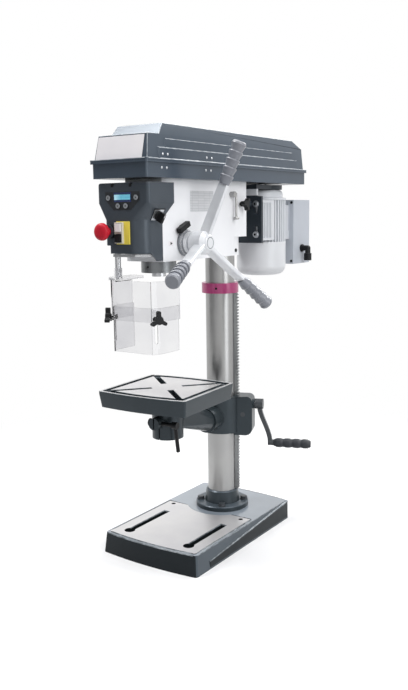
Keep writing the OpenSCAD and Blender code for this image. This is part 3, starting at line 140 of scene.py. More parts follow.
def make_grain():
    """Fine pebble of a cast, sprayed or moulded skin, with a slower swing for the gloss."""
    tree, given, out = shader_group(
        "skin_grain",
        [("Vector", VECTOR, None), ("Scale", FLOAT, 900.0), ("Gloss Swing", FLOAT, 0.06),
         ("Roughness", FLOAT, 0.4)],
        [("Height", FLOAT), ("Roughness", FLOAT)])
    fine = add_node(tree, "ShaderNodeTexNoise")
    set_sockets(fine, Detail=2)
    slow = add_node(tree, "ShaderNodeTexNoise")
    set_sockets(slow, Scale=42, Detail=3)
    wire(tree, (given.outputs["Vector"], fine.inputs["Vector"]),
         (given.outputs["Vector"], slow.inputs["Vector"]), (given.outputs["Scale"], fine.inputs["Scale"]),
         (fine.outputs["Fac"], out.inputs["Height"]))
    add_swing(tree, slow.outputs["Fac"], given, "Gloss Swing", out)
    return tree


def make_scuffs():
    """Patches where the paint is rubbed thin; more of it shows as Amount grows."""
    tree, given, out = shader_group(
        "scuffs",
        [("Vector", VECTOR, None), ("Scale", FLOAT, 60.0), ("Amount", FLOAT, 0.5)],
        [("Mask", FLOAT)])
    noise = add_node(tree, "ShaderNodeTexNoise")
    set_sockets(noise, Detail=5)
    level = add_node(tree, "ShaderNodeMath", operation="ADD")
    mask = add_node(tree, "ShaderNodeMapRange")
    set_sockets(mask, From_Min=0.85, From_Max=1.15)
    wire(tree, (given.outputs["Vector"], noise.inputs["Vector"]),
         (given.outputs["Scale"], noise.inputs["Scale"]), (noise.outputs["Fac"], level.inputs[0]),
         (given.outputs["Amount"], level.inputs[1]), (level.outputs["Value"], mask.inputs["Value"]),
         (mask.outputs["Result"], out.inputs["Mask"]))
    return tree


def make_tool_lines():
    """Lines left by turning, grinding or drawing: noise stretched along them by the vector it is given."""
    tree, given, out = shader_group(
        "tool_lines",
        [("Vector", VECTOR, None), ("Scale", FLOAT, 1.0), ("Roughness", FLOAT, 0.3), ("Spread", FLOAT, 0.12)],
        [("Height", FLOAT), ("Roughness", FLOAT)])
    lines = add_node(tree, "ShaderNodeTexNoise")
    set_sockets(lines, Detail=3)
    wire(tree, (given.outputs["Vector"], lines.inputs["Vector"]),
         (given.outputs["Scale"], lines.inputs["Scale"]), (lines.outputs["Fac"], out.inputs["Height"]))
    add_swing(tree, lines.outputs["Fac"], given, "Spread", out)
    return tree


MOTTLE = make_mottle()
GRAIN = make_grain()
SCUFFS = make_scuffs()
TOOL_LINES = make_tool_lines()


def placed_group(tree, group, where, **values):
    """A shared group in a material, fed with the coordinates, with its other inputs set."""
    made = add_node(tree, "ShaderNodeGroup", node_tree=group)
    set_sockets(made, **values)
    wire(tree, (where, made.inputs["Vector"]))
    return made


def new_finish(name, **constants):
    """New finish: its tree, its Principled shader with the plain values set, and its object coordinates."""
    material = bpy.data.materials.new(name)
    material.use_nodes = True
    FINISH[name] = material
    tree = material.node_tree
    shader = tree.nodes["Principled BSDF"]
    set_sockets(shader, **constants)
    place = add_node(tree, "ShaderNodeTexCoord")
    return tree, shader, place.outputs["Object"]


def add_relief(tree, marks, depth, shader):
    """Bump, as deep as depth in millimetres, and roughness from a group's Height and Roughness."""
    bump = add_node(tree, "ShaderNodeBump")
    set_sockets(bump, Distance=depth * MM)
    wire(tree, (marks.outputs["Height"], bump.inputs["Height"]),
         (bump.outputs["Normal"], shader.inputs["Normal"]),
         (marks.outputs["Roughness"], shader.inputs["Roughness"]))


def skin(name, main, shade, roughness, mottle=16.0, grain=900.0, depth=0.03, swing=0.08, wear=0.0, bare=None,
         **constants):
    """Painted, cast or moulded finish: mottled colour, fine pebble, uneven gloss and, where it wears, rubbed
    patches of the bare colour."""
    tree, shader, where = new_finish(name, **constants)
    tint = placed_group(tree, MOTTLE, where, Scale=mottle, Colour=colour(main), Shade=colour(shade))
    pebble = placed_group(tree, GRAIN, where, Scale=grain, Gloss_Swing=swing, Roughness=roughness)
    add_relief(tree, pebble, depth, shader)
    tone = tint.outputs["Colour"]
    if wear:
        worn = placed_group(tree, SCUFFS, where, Amount=wear)
        blend = add_node(tree, "ShaderNodeMix", data_type="RGBA")
        blend.inputs[MIX_B].default_value = colour(bare)
        wire(tree, (worn.outputs["Mask"], blend.inputs["Factor"]), (tone, blend.inputs[MIX_A]))
        tone = blend.outputs[MIX_OUT]
    wire(tree, (tone, shader.inputs["Base Color"]))


def machined(name, main, shade, roughness, stretch, lines=1.0, spread=0.14, depth=0.01):
    """Bare metal with tool lines; stretch is how fast the lines change along each axis."""
    tree, shader, where = new_finish(name, Metallic=1.0)
    mapping = add_node(tree, "ShaderNodeMapping")
    set_sockets(mapping, Scale=stretch)
    wire(tree, (where, mapping.inputs["Vector"]))
    marks = placed_group(tree, TOOL_LINES, mapping.outputs["Vector"],
                         Scale=lines, Roughness=roughness, Spread=spread)
    tint = placed_group(tree, MOTTLE, where, Scale=9, Colour=colour(main), Shade=colour(shade))
    wire(tree, (tint.outputs["Colour"], shader.inputs["Base Color"]))
    add_relief(tree, marks, depth, shader)


def clear_sheet(name, main, shade):
    """Clear guard plastic with faint haze."""
    tree, shader, where = new_finish(name, Transmission_Weight=1.0, IOR=1.46)
    tint = placed_group(tree, MOTTLE, where, Scale=12, Colour=colour(main), Shade=colour(shade))
    haze = placed_group(tree, GRAIN, where, Scale=300, Gloss_Swing=0.05, Roughness=0.05)
    wire(tree, (tint.outputs["Colour"], shader.inputs["Base Color"]),
         (haze.outputs["Roughness"], shader.inputs["Roughness"]))


def cell_grid(tree, where, axes, size, gap, main, second, line):
    """Grid of cells on two object axes; size is a cell's width and height in millimetres."""
    split = add_node(tree, "ShaderNodeSeparateXYZ")
    flat = add_node(tree, "ShaderNodeCombineXYZ")
    mapping = add_node(tree, "ShaderNodeMapping")
    set_sockets(mapping, Scale=(1 / MM, 1 / MM, 1))
    cells = add_node(tree, "ShaderNodeTexBrick", offset=0)
    set_sockets(cells, Color1=colour(main), Color2=colour(second), Mortar=colour(line), Scale=1,
                Mortar_Size=gap, Brick_Width=size[0], Row_Height=size[1])
    wire(tree, (where, split.inputs["Vector"]), (split.outputs[axes[0]], flat.inputs["X"]),
         (split.outputs[axes[1]], flat.inputs["Y"]), (flat.outputs["Vector"], mapping.inputs["Vector"]),
         (mapping.outputs["Vector"], cells.inputs["Vector"]))
    return cells.outputs["Color"]


def lit_screen(name, pale_end, plain_end):
    """Backlit display field with faint empty character cells and a painted glare: it grows paler from
    plain_end to pale_end, which are places along x in millimetres."""
    tree, shader, where = new_finish(name, Roughness=0.18, Emission_Strength=0.4)
    cells = cell_grid(tree, where, "XZ", (3.4, 5.2), 0.22, "57A3BC", "61ADC4", "82C2D4")
    split = add_node(tree, "ShaderNodeSeparateXYZ")
    glare = add_node(tree, "ShaderNodeMapRange")
    set_sockets(glare, From_Min=pale_end * MM, From_Max=plain_end * MM, To_Min=0.8, To_Max=0.0)
    # Painted glare: the field's colour is mixed towards a pale cyan along x
    tone = add_node(tree, "ShaderNodeMix", data_type="RGBA")
    tone.inputs[MIX_B].default_value = colour("B4DDEA")
    wire(tree, (where, split.inputs["Vector"]), (split.outputs["X"], glare.inputs["Value"]),
         (glare.outputs["Result"], tone.inputs["Factor"]), (cells, tone.inputs[MIX_A]),
         (tone.outputs[MIX_OUT], shader.inputs["Base Color"]),
         (tone.outputs[MIX_OUT], shader.inputs["Emission Color"]))


def ruled_plate(name):
    """Printed metal plate with an empty ruled table."""
    tree, shader, where = new_finish(name, Metallic=0.2)
    cells = cell_grid(tree, where, "YZ", (23.5, 5.75), 0.28, "D4D5D8", "CCCED1", "A6A9AE")
    sheen = placed_group(tree, GRAIN, where, Scale=500, Roughness=0.4)
    wire(tree, (cells, shader.inputs["Base Color"]),
         (sheen.outputs["Roughness"], shader.inputs["Roughness"]))


# Tool lines round an upright axis, and the tint of cool highlights
RINGS = (6, 6, 900)
COOL = (0.80, 0.90, 1.0, 1)
skin("casting_enamel", "2A3135", "262D30", 0.30, grain=420, depth=0.025, Specular_IOR_Level=0.45,
     Specular_Tint=COOL)
# Darker copy of the casting enamel for the base: painted shade, as the key light reaches the base less than
# the table
skin("base_enamel", "1A1E20", "171B1D", 0.34, grain=420, depth=0.025, Specular_IOR_Level=0.2,
     Specular_Tint=COOL)
# Mid-tone copy of the casting enamel for the base's upward-leaning sides and the column foot's top: painted
# light on faces that catch the overhead lamps
skin("casting_shoulder", "4A5259", "434B52", 0.30, mottle=8, grain=420, depth=0.02, Specular_Tint=COOL)
# Lighter, coated copy of the casting enamel for the base's rear top: a painted sheen, the bright reflection
# that top catches
skin("casting_sheen", "8A939D", "818A94", 0.30, mottle=8, grain=420, depth=0.02, Coat_Weight=1.0,
     Coat_Roughness=0.12)
machined("ground_iron", "D9D8D8", "CFCED0", 0.42, (260, 14, 14), spread=0.10)
skin("head_enamel", "F5F6F8", "EEEFF2", 0.38, mottle=6, grain=500, depth=0.05)
machined("column_steel", "A2A2A1", "989898", 0.30, RINGS, spread=0.07, depth=0.004)
# Darker copy of the steel for the rack: painted shade along the rack beside the column
machined("rack_steel", "8B8D8E", "7E8081", 0.40, RINGS)
machined("bright_steel", "BEBFC1", "AEB0B3", 0.28, RINGS)
machined("ring_steel", "7A7C7E", "6B6E70", 0.34, RINGS)
skin("arm_silver", "E9EBEE", "DFE1E5", 0.30, mottle=30, grain=500, depth=0.02, Metallic=0.2)
machined("satin_silver", "CFD1D4", "C3C6CA", 0.36, (60, 60, 60), lines=6.0, spread=0.10)
machined("pulley_metal", "BFC0C2", "B2B4B7", 0.32, RINGS)
skin("ring_paint", "A5376E", "9A3165", 0.30, grain=600, Coat_Weight=0.3)
skin("cover_paint", "3D4753", "39434E", 0.24, mottle=7, depth=0.008, swing=0.03, Specular_IOR_Level=0.6,
     Specular_Tint=COOL)
# Lighter rim for the long rounded edges of the belt lid: a painted highlight along its bands and edges, with
# rubbed scuffs of wear
skin("cover_edge", "8C949C", "7E868E", 0.26, mottle=40, depth=0.02, wear=0.5, bare="C2C8CD")
# Lighter rim for the long rounded edges of the base, column foot and table: a painted highlight along the
# edges, with rubbed scuffs of wear
skin("casting_edge", "5C6368", "52595E", 0.28, mottle=40, grain=420, depth=0.05, wear=0.45, bare="9AA1A7")
skin("panel_plastic", "3C4249", "383E45", 0.32, mottle=9, grain=1400, depth=0.02, Specular_Tint=COOL)
skin("grip_plastic", "7E8189", "757880", 0.38, grain=1100, Coat_Weight=0.5, Coat_Roughness=0.28)
skin("dark_plastic", "303338", "2A2D32", 0.45, grain=1100, depth=0.05, Specular_IOR_Level=0.35)
skin("dial_grey", "7B7F85", "73777D", 0.38, depth=0.02)
skin("black_plastic", "0E0F11", "131416", 0.40, grain=1200, depth=0.04, Specular_IOR_Level=0.2)
skin("plate_black", "2B3239", "262D34", 0.40, Specular_IOR_Level=0.3)
skin("dark_metal", "3B3F43", "33373B", 0.36, grain=700, depth=0.05, wear=0.24, bare="55595E")
machined("blued_strip", "5A5D64", "4B4E55", 0.34, (400, 20, 20))
skin("display_window", "1D2F63", "172757", 0.16, grain=300, depth=0.005, Coat_Weight=0.5)
skin("display_foil", "1B1E22", "202328", 0.30, mottle=20, depth=0.01)
lit_screen("display_screen", pale_end=-19, plain_end=-4)
skin("key_plastic", "8E9296", "84888C", 0.42, grain=1200)
skin("key_mark", "2A2D30", "303336", 0.50, depth=0.01)
skin("switch_yellow", "F4DE58", "EDD64F", 0.34, depth=0.02)
skin("switch_bezel", "D6D3C8", "C9C6BB", 0.26, depth=0.02)
skin("start_white", "F4F1EF", "EBE8E6", 0.28, depth=0.02)
skin("stop_red", "C81E32", "BC1A2D", 0.42, grain=800, depth=0.02, Specular_IOR_Level=0.25)
clear_sheet("guard_clear", "EFEFF0", "E8E8EA")
skin("belt_rubber", "1A1B1C", "222324", 0.72, grain=700, depth=0.12)
# Darker copy of the motor enamel for the terminal box and its ribs: painted shade
skin("box_enamel", "BDC2CA", "B5BAC2", 0.40, mottle=8, grain=600, depth=0.05)
# Lighter copy of the motor enamel for the fan cover: painted light
skin("fan_enamel", "E1E3E6", "DADCDF", 0.30, mottle=8, grain=600, depth=0.04)
skin("motor_enamel", "D6D9DD", "CFD2D7", 0.30, mottle=8, grain=600, depth=0.05)
skin("label_plate", "F1EEF0", "EAE7EA", 0.34, mottle=10, depth=0.01)
ruled_plate("rating_plate")


# Solids of the frame with softened edges

# Angles are in degrees and the welding distance is in metres; a direction whose share along an axis is above
# MOSTLY counts as along it
CORNER_STEPS = 6
RING_STEPS = 48
SMOOTH_BELOW, ROUND_ABOVE, FLAT_WITHIN = 32, 35, 0.6
WELD = 2e-6
MOSTLY = 0.7


def plain_object(name, mesh, *finishes):
    """Object of a mesh with its finishes."""
    made = bpy.data.objects.new(name, mesh)
    scene.collection.objects.link(made)
    mesh.materials.clear()
    for key in finishes:
        mesh.materials.append(FINISH[key])
    return made


def baked(made):
    """Turns an object with modifiers into one with a plain mesh of the same place."""
    graph = bpy.context.evaluated_depsgraph_get()
    mesh = bpy.data.meshes.new_from_object(
        made.evaluated_get(graph), preserve_all_data_layers=True, depsgraph=graph)
    made.modifiers.clear()
    made.data = mesh
    return made


def smooth(mesh):
    """Smooth light, apart from sharp edges."""
    mesh.shade_smooth()
    mesh.set_sharp_from_angle(angle=math.radians(SMOOTH_BELOW))


def mark_long_edges(mesh, shortest):
    """Bevel weight 1 on the sharp edges longer than shortest that border a face that looks up, or that are
    upright and not short."""
    looks_up, short = 0.3, 26 * MM
    shape = bmesh.new()
    shape.from_mesh(mesh)
    weights = shape.edges.layers.float.new("bevel_weight_edge")
    for edge in shape.edges:
        if len(edge.link_faces) != 2 or edge.calc_face_angle() < math.radians(ROUND_ABOVE):
            continue
        if edge.calc_length() < shortest:
            continue
        run = (edge.verts[1].co - edge.verts[0].co).normalized()
        upright = abs(run.z) > MOSTLY and edge.calc_length() > short
        if upright or max(face.normal.z for face in edge.link_faces) > looks_up:
            edge[weights] = 1.0
    shape.to_mesh(mesh)
    shape.free()


def soften(made, edge, steps=2, rim=False):
    """Rounds the sharp edges by edge millimetres and keeps flat faces flat in the light. With rim, only edges
    longer than five times that are rounded, and they take the last of the object's finishes, which paints a
    highlight on them where it is lighter."""
    if edge:
        rounding = made.modifiers.new("rounding", "BEVEL")
        rounding.width = edge * MM
        rounding.segments = steps
        rounding.loop_slide = False
        rounding.use_clamp_overlap = not rim
        if rim:
            mark_long_edges(made.data, 5 * edge * MM)
            rounding.limit_method = "WEIGHT"
            rounding.material = len(made.data.materials) - 1
        else:
            rounding.limit_method = "ANGLE"
            rounding.angle_limit = math.radians(ROUND_ABOVE)
    baked(made)
    smooth(made.data)
    level = made.modifiers.new("even_light", "WEIGHTED_NORMAL")
    level.keep_sharp = True
    return baked(made)


def cut_across(shape, point, way):
    """Splits the faces of a bmesh by a plane."""
    everything = shape.verts[:] + shape.edges[:] + shape.faces[:]
    bmesh.ops.bisect_plane(shape, geom=everything, plane_co=point, plane_no=way)


def cad_copy(node, levels=()):
    """Mesh of a CAD node with its triangles joined into faces, which are split at the heights in levels."""
    mesh = frame["nodes"][node].data.copy()
    shape = bmesh.new()
    shape.from_mesh(mesh)
    bmesh.ops.remove_doubles(shape, verts=shape.verts, dist=WELD)
    bmesh.ops.dissolve_limit(
        shape, angle_limit=math.radians(FLAT_WITHIN), verts=shape.verts, edges=shape.edges)
    for level in levels:
        cut_across(shape, (0, 0, level * MM), (0, 0, 1))
    shape.to_mesh(mesh)
    shape.free()
    for name in [a.name for a in mesh.attributes if a.name.startswith("custom_normal")]:
        mesh.attributes.remove(mesh.attributes[name])
    return mesh


def round_corner(mesh, corner, way, radius):
    """Rounds a body's outer corner in the x-z plane: corner is its x and z in millimetres, and way holds the
    signs of x and z that point out of the body there."""
    shape = bmesh.new()
    shape.from_mesh(mesh)
    middle = Vector((corner[0] - way[0] * radius, 0, corner[1] - way[1] * radius)) * MM
    for step in range(CORNER_STEPS + 1):
        turn = math.pi / 2 * step / CORNER_STEPS
        across = Vector((-way[0] * math.sin(turn), 0, way[1] * math.cos(turn)))
        cut_across(shape, middle, across)
    for vertex in shape.verts:
        out = Vector((vertex.co.x - middle.x, 0, vertex.co.z - middle.z))
        if out.x * way[0] > 0 and out.z * way[1] > 0 and out.length > radius * MM:
            vertex.co += out.normalized() * radius * MM - out
    shape.to_mesh(mesh)
    shape.free()


def dressed(node, finish, edge=0.0, others=(), steps=2, rim=None, levels=(), corners=(), reshape=None):
    """A CAD node's own shape with soft edges. Each pair in others is a finish and a test of a face's centre
    and normal, and a face takes the first finish whose test it passes. The rounded edges take the rim finish,
    which paints a highlight on them where it is lighter, corners lists the outer corners that round_corner
    makes rounder than the rest, and reshape moves a point given in millimetres."""
    mesh = cad_copy(node, levels)
    finishes = [finish] + [key for key, _ in others] + [rim] * bool(rim)
    made = plain_object(node + "_dressed", mesh, *finishes)
    for face in mesh.polygons:
        passed = (i for i, (_, test) in enumerate(others, 1) if test(face.center / MM, face.normal))
        face.material_index = next(passed, 0)
    for corner in corners:
        round_corner(mesh, *corner)
    if reshape:
        for vertex in mesh.vertices:
            vertex.co = reshape(vertex.co / MM) * MM
    soften(made, edge, steps, rim=bool(rim))
    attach(made, BODY_OF[node])
    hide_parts(node)


def repaint(node, finish):
    """Gives a CAD node that stays as it is its finish."""
    data = frame["nodes"][node].data
    data.materials.clear()
    data.materials.append(FINISH[finish])


def on_top(level):
    """Test for the faces that look up above a height."""
    return lambda centre, normal: normal.z > MOSTLY and centre.z > level


# Node, finish and how much its edges are rounded in millimetres
DRESSED = [
    ("foot_bolts", "dark_metal", 0.6), ("column_ring", "ring_paint", 1.2),
    ("table_bracket", "casting_enamel", 2.0), ("crank_arm", "dark_metal", 1.6),
    ("crank_grip", "dark_plastic", 0.0), ("bracket_clamp", "dark_metal", 0.8),
    ("table_arm", "casting_enamel", 2.0), ("tilt_bolt", "bright_steel", 0.6),
    ("table_clamp", "black_plastic", 0.8), ("head_casting", "head_enamel", 2.4),
    ("quill_ring", "ring_steel", 1.0), ("spindle", "bright_steel", 0.5), ("feed_hub", "arm_silver", 1.2),
    ("feed_arms", "arm_silver", 0.6), ("feed_grips", "grip_plastic", 0.0), ("depth_ring", "dial_grey", 0.8),
    ("depth_lock", "black_plastic", 1.6), ("spring_cap", "dark_plastic", 2.0),
    ("display_panel", "display_window", 0.5), ("start_button", "start_white", 1.4),
    ("stop_button", "black_plastic", 1.4), ("selector_knob", "black_plastic", 1.2),
    ("guard_rod", "bright_steel", 0.5), ("guard_bracket", "guard_clear", 0.8),
    ("guard_upper", "guard_clear", 0.4), ("guard_lower", "guard_clear", 0.4),
    ("guard_knob_left", "black_plastic", 1.4), ("guard_knob_right", "black_plastic", 1.4),
    ("spindle_pulley", "pulley_metal", 0.5), ("motor_pulley", "pulley_metal", 0.5),
    ("motor_housing", "motor_enamel", 0.5), ("fan_cover", "fan_enamel", 0.0),
    ("terminal_box", "box_enamel", 2.0), ("cable_gland", "black_plastic", 0.8),
    ("tension_lever", "column_steel", 0.8), ("lock_knob", "black_plastic", 1.2),
    ("display_key_left", "key_plastic", 0.8), ("display_key_right", "key_plastic", 0.8),
    ("display_key_down", "key_plastic", 0.8), ("display_key_up", "key_plastic", 0.8),
]
for node, finish, edge in DRESSED:
    dressed(node, finish, edge)

cover_low, cover_high, _ = box_of("control_cover")
cover_step = (-50, 734)
dressed("control_cover", "panel_plastic", 1.2, corners=[
    ((cover_low.x, cover_high.z), (-1, 1), 10), (cover_step, (-1, -1), 6)])
panel_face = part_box("switch_plate")[1].y / MM
stop_low, _, stop_middle = box_of("emergency_stop")
head_foot, dome_foot = panel_face - 18, panel_face - 26
dome_power, head_width, head_depth = 3.2, 0.95, 0.78
nearly_top = 0.999


def flatter_head(point):
    """Point of the emergency stop with fuller shoulders on a thinner head, inside the solid's box."""
    if point.y > head_foot:
        return point
    rise = (dome_foot - point.y) / (dome_foot - stop_low.y)
    share = head_width
    if 0 < rise < nearly_top:
        share *= (1 - rise ** dome_power) ** (1 / dome_power) / math.sqrt(1 - rise * rise)
    return Vector((stop_middle.x + (point.x - stop_middle.x) * share,
                   stop_low.y + (point.y - stop_low.y) * head_depth,
                   stop_middle.z + (point.z - stop_middle.z) * share))


dressed("emergency_stop", "stop_red", reshape=flatter_head)
dressed("belt_tray", "cover_paint", 1.3, rim="cover_paint")
dressed("belt_lid", "cover_paint", 1.3, rim="cover_edge")

# Faces with a finish of their own: ground iron, the base's rear top and leaning sides and the column foot's
# top (lighter copies of the enamel as painted sheen and painted light), the switch bezel, and the light web
# of the motor plate
base_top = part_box("base")[1].z / MM
table_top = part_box("work_table")[1].z / MM
ground_depth, rear_depth, least_lean = 0.4, 12, 0.04
bezel_face = -373.5
web_low, web_high = 843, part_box("motor_housing")[1].z / MM + 0.2


# Faces of the base's sides that lean up, which take the painted light
def is_leaning_side(centre, normal):
    return abs(normal.x) > MOSTLY and normal.z > least_lean


def is_bezel(centre, normal):
    return centre.y < bezel_face


def is_web(centre, normal):
    return web_low < centre.z < web_high


dressed("base", "base_enamel", 2.2, [
    ("ground_iron", on_top(base_top - ground_depth)), ("casting_sheen", on_top(base_top - rear_depth)),
    ("casting_shoulder", is_leaning_side)], steps=3, rim="casting_edge")
dressed("column_foot", "casting_enamel", 1.2, [("casting_shoulder", on_top(base_top))], rim="casting_edge")
dressed("work_table", "casting_enamel", 1.0, [("ground_iron", on_top(table_top - ground_depth))],
        rim="casting_edge")
dressed("switch_plate", "switch_yellow", 0.8, [("switch_bezel", is_bezel)])
dressed("motor_plate", "plate_black", 1.2, [("motor_enamel", is_web)], levels=(web_low, web_high))

for node, finish in {
    "column": "column_steel", "column_rack": "rack_steel", "lift_pinion": "dark_metal",
    "crank_shaft": "bright_steel", "quill": "bright_steel", "quill_bearings": "bright_steel",
    "feed_shaft": "bright_steel", "return_spring": "blued_strip", "hinge_pins": "bright_steel",
    "drive_belt": "belt_rubber", "motor_rotor": "bright_steel",
}.items():
    repaint(node, finish)


# Fasteners and marks that repeat

WHOLE, MATERIAL, GEOMETRY = "NodeSocketInt", "NodeSocketMaterial", "NodeSocketGeometry"


def node_tree(name, inputs):
    """Geometry tree with a mesh in, a mesh out and named inputs."""
    tree = bpy.data.node_groups.new(name, "GeometryNodeTree")
    tree.interface.new_socket("Geometry", in_out="INPUT", socket_type=GEOMETRY)
    for label, kind in inputs:
        tree.interface.new_socket(label, in_out="INPUT", socket_type=kind)
    tree.interface.new_socket("Geometry", in_out="OUTPUT", socket_type=GEOMETRY)
    return tree, tree.nodes.new("NodeGroupInput"), tree.nodes.new("NodeGroupOutput")


def make_screw_tree():
    """A washer, a head and a driver recess on every point, turned to the point's own direction."""
    tree, given, out = node_tree("screw_heads", [
        ("Washer Radius", FLOAT), ("Washer Height", FLOAT), ("Head Sides", WHOLE), ("Head Radius", FLOAT),
        ("Head Height", FLOAT), ("Crown Radius", FLOAT), ("Recess Radius", FLOAT), ("Head Finish", MATERIAL),
        ("Recess Finish", MATERIAL)])
    washer_sides, recess_sides, recess_lip = 28, 6, 0.12
    join = add_node(tree, "GeometryNodeJoinGeometry")

    def stacked(radius, sides, low, high, top_radius, finish):
        """One turned slice between two heights, which are sockets like the radii; sides may be a number."""
        cone = add_node(tree, "GeometryNodeMeshCone", fill_type="NGON")
        rise = add_node(tree, "ShaderNodeMath", operation="SUBTRACT")
        shift = add_node(tree, "ShaderNodeCombineXYZ")
        move = add_node(tree, "GeometryNodeTransform")
        coat = add_node(tree, "GeometryNodeSetMaterial")
        if isinstance(sides, int):
            set_sockets(cone, Vertices=sides)
        else:
            wire(tree, (sides, cone.inputs["Vertices"]))
        if low is None:
            rise.inputs[1].default_value = 0.0
        else:
            wire(tree, (low, rise.inputs[1]), (low, shift.inputs["Z"]))
        wire(tree, (radius, cone.inputs["Radius Bottom"]), (top_radius, cone.inputs["Radius Top"]),
             (high, rise.inputs[0]), (rise.outputs["Value"], cone.inputs["Depth"]),
             (cone.outputs["Mesh"], move.inputs["Geometry"]),
             (shift.outputs["Vector"], move.inputs["Translation"]),
             (move.outputs["Geometry"], coat.inputs["Geometry"]), (finish, coat.inputs["Material"]),
             (coat.outputs["Geometry"], join.inputs["Geometry"]))

    inputs = given.outputs
    lip = add_node(tree, "ShaderNodeMath", operation="ADD")
    lip.inputs[1].default_value = recess_lip * MM
    wire(tree, (inputs["Head Height"], lip.inputs[0]))
    stacked(inputs["Washer Radius"], washer_sides, None, inputs["Washer Height"], inputs["Washer Radius"],
            inputs["Head Finish"])
    stacked(inputs["Head Radius"], inputs["Head Sides"], inputs["Washer Height"], inputs["Head Height"],
            inputs["Crown Radius"], inputs["Head Finish"])
    stacked(inputs["Recess Radius"], recess_sides, inputs["Washer Height"], lip.outputs["Value"],
            inputs["Recess Radius"], inputs["Recess Finish"])
    facing = add_node(tree, "GeometryNodeInputNamedAttribute", data_type="FLOAT_VECTOR")
    set_sockets(facing, Name="facing")
    align = add_node(tree, "FunctionNodeAlignRotationToVector", axis="Z")
    spread = add_node(tree, "GeometryNodeInstanceOnPoints")
    real = add_node(tree, "GeometryNodeRealizeInstances")
    wire(tree, (inputs["Geometry"], spread.inputs["Points"]),
         (join.outputs["Geometry"], spread.inputs["Instance"]),
         (facing.outputs["Attribute"], align.inputs["Vector"]),
         (align.outputs["Rotation"], spread.inputs["Rotation"]),
         (spread.outputs["Instances"], real.inputs["Geometry"]),
         (real.outputs["Geometry"], out.inputs["Geometry"]))
    return tree


SCREWS = make_screw_tree()


def set_inputs(modifier, values):
    """Sets a tree's inputs by the identifiers of their sockets."""
    for item in modifier.node_group.interface.items_tree:
        if item.in_out == "INPUT" and item.name in values:
            modifier[item.identifier] = values[item.name]


def screws(name, body, places, washer, head, crown, recess, sides=20, finish="black_plastic",
           recess_finish="black_plastic"):
    """Fasteners of one kind on one body, in millimetres; places are (point, direction), washer and head are
    (radius, height)."""
    mesh = bpy.data.meshes.new(name)
    mesh.from_pydata([Vector(point) * MM for point, _ in places], [], [])
    facing = mesh.attributes.new("facing", "FLOAT_VECTOR", "POINT")
    for i, (_, way) in enumerate(places):
        facing.data[i].vector = Vector(way).normalized()
    made = plain_object(name, mesh)
    layer = made.modifiers.new("heads", "NODES")
    layer.node_group = SCREWS
    set_inputs(layer, {
        "Washer Radius": washer[0] * MM, "Washer Height": washer[1] * MM, "Head Sides": sides,
        "Head Radius": head[0] * MM, "Head Height": (washer[1] + head[1]) * MM, "Crown Radius": crown * MM,
        "Recess Radius": recess * MM, "Head Finish": FINISH[finish], "Recess Finish": FINISH[recess_finish]})
    baked(made)
    smooth(made.data)
    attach(made, body)


def make_bar_tree():
    """A raised bar on every point; its top looks along the point's facing, its length along its run."""
    tree, given, out = node_tree("raised_bars", [
        ("Length", FLOAT), ("Width", FLOAT), ("Height", FLOAT), ("Finish", MATERIAL)])
    inputs = given.outputs
    size = add_node(tree, "ShaderNodeCombineXYZ")
    bar = add_node(tree, "GeometryNodeMeshCube")
    half = add_node(tree, "ShaderNodeMath", operation="MULTIPLY")
    half.inputs[1].default_value = 0.5
    rise = add_node(tree, "ShaderNodeCombineXYZ")
    seat = add_node(tree, "GeometryNodeTransform")
    wire(tree, (inputs["Length"], size.inputs["X"]), (inputs["Width"], size.inputs["Y"]),
         (inputs["Height"], size.inputs["Z"]), (size.outputs["Vector"], bar.inputs["Size"]),
         (inputs["Height"], half.inputs[0]), (half.outputs["Value"], rise.inputs["Z"]),
         (bar.outputs["Mesh"], seat.inputs["Geometry"]),
         (rise.outputs["Vector"], seat.inputs["Translation"]))
    turn = None
    for label, axis, pivot in (("facing", "Z", "AUTO"), ("run", "X", "Z")):
        way = add_node(tree, "GeometryNodeInputNamedAttribute", data_type="FLOAT_VECTOR")
        set_sockets(way, Name=label)
        align = add_node(tree, "FunctionNodeAlignRotationToVector", axis=axis, pivot_axis=pivot)
        wire(tree, (way.outputs["Attribute"], align.inputs["Vector"]))
        if turn:
            wire(tree, (turn, align.inputs["Rotation"]))
        turn = align.outputs["Rotation"]
    share = add_node(tree, "GeometryNodeInputNamedAttribute", data_type="FLOAT")
    set_sockets(share, Name="share")
    stretch = add_node(tree, "ShaderNodeCombineXYZ")
    set_sockets(stretch, Y=1, Z=1)
    spread = add_node(tree, "GeometryNodeInstanceOnPoints")
    real = add_node(tree, "GeometryNodeRealizeInstances")
    coat = add_node(tree, "GeometryNodeSetMaterial")
    wire(tree, (share.outputs["Attribute"], stretch.inputs["X"]),
         (inputs["Geometry"], spread.inputs["Points"]),
         (seat.outputs["Geometry"], spread.inputs["Instance"]), (turn, spread.inputs["Rotation"]),
         (stretch.outputs["Vector"], spread.inputs["Scale"]),
         (spread.outputs["Instances"], real.inputs["Geometry"]),
         (real.outputs["Geometry"], coat.inputs["Geometry"]), (inputs["Finish"], coat.inputs["Material"]),
         (coat.outputs["Geometry"], out.inputs["Geometry"]))
    return tree


BARS = make_bar_tree()


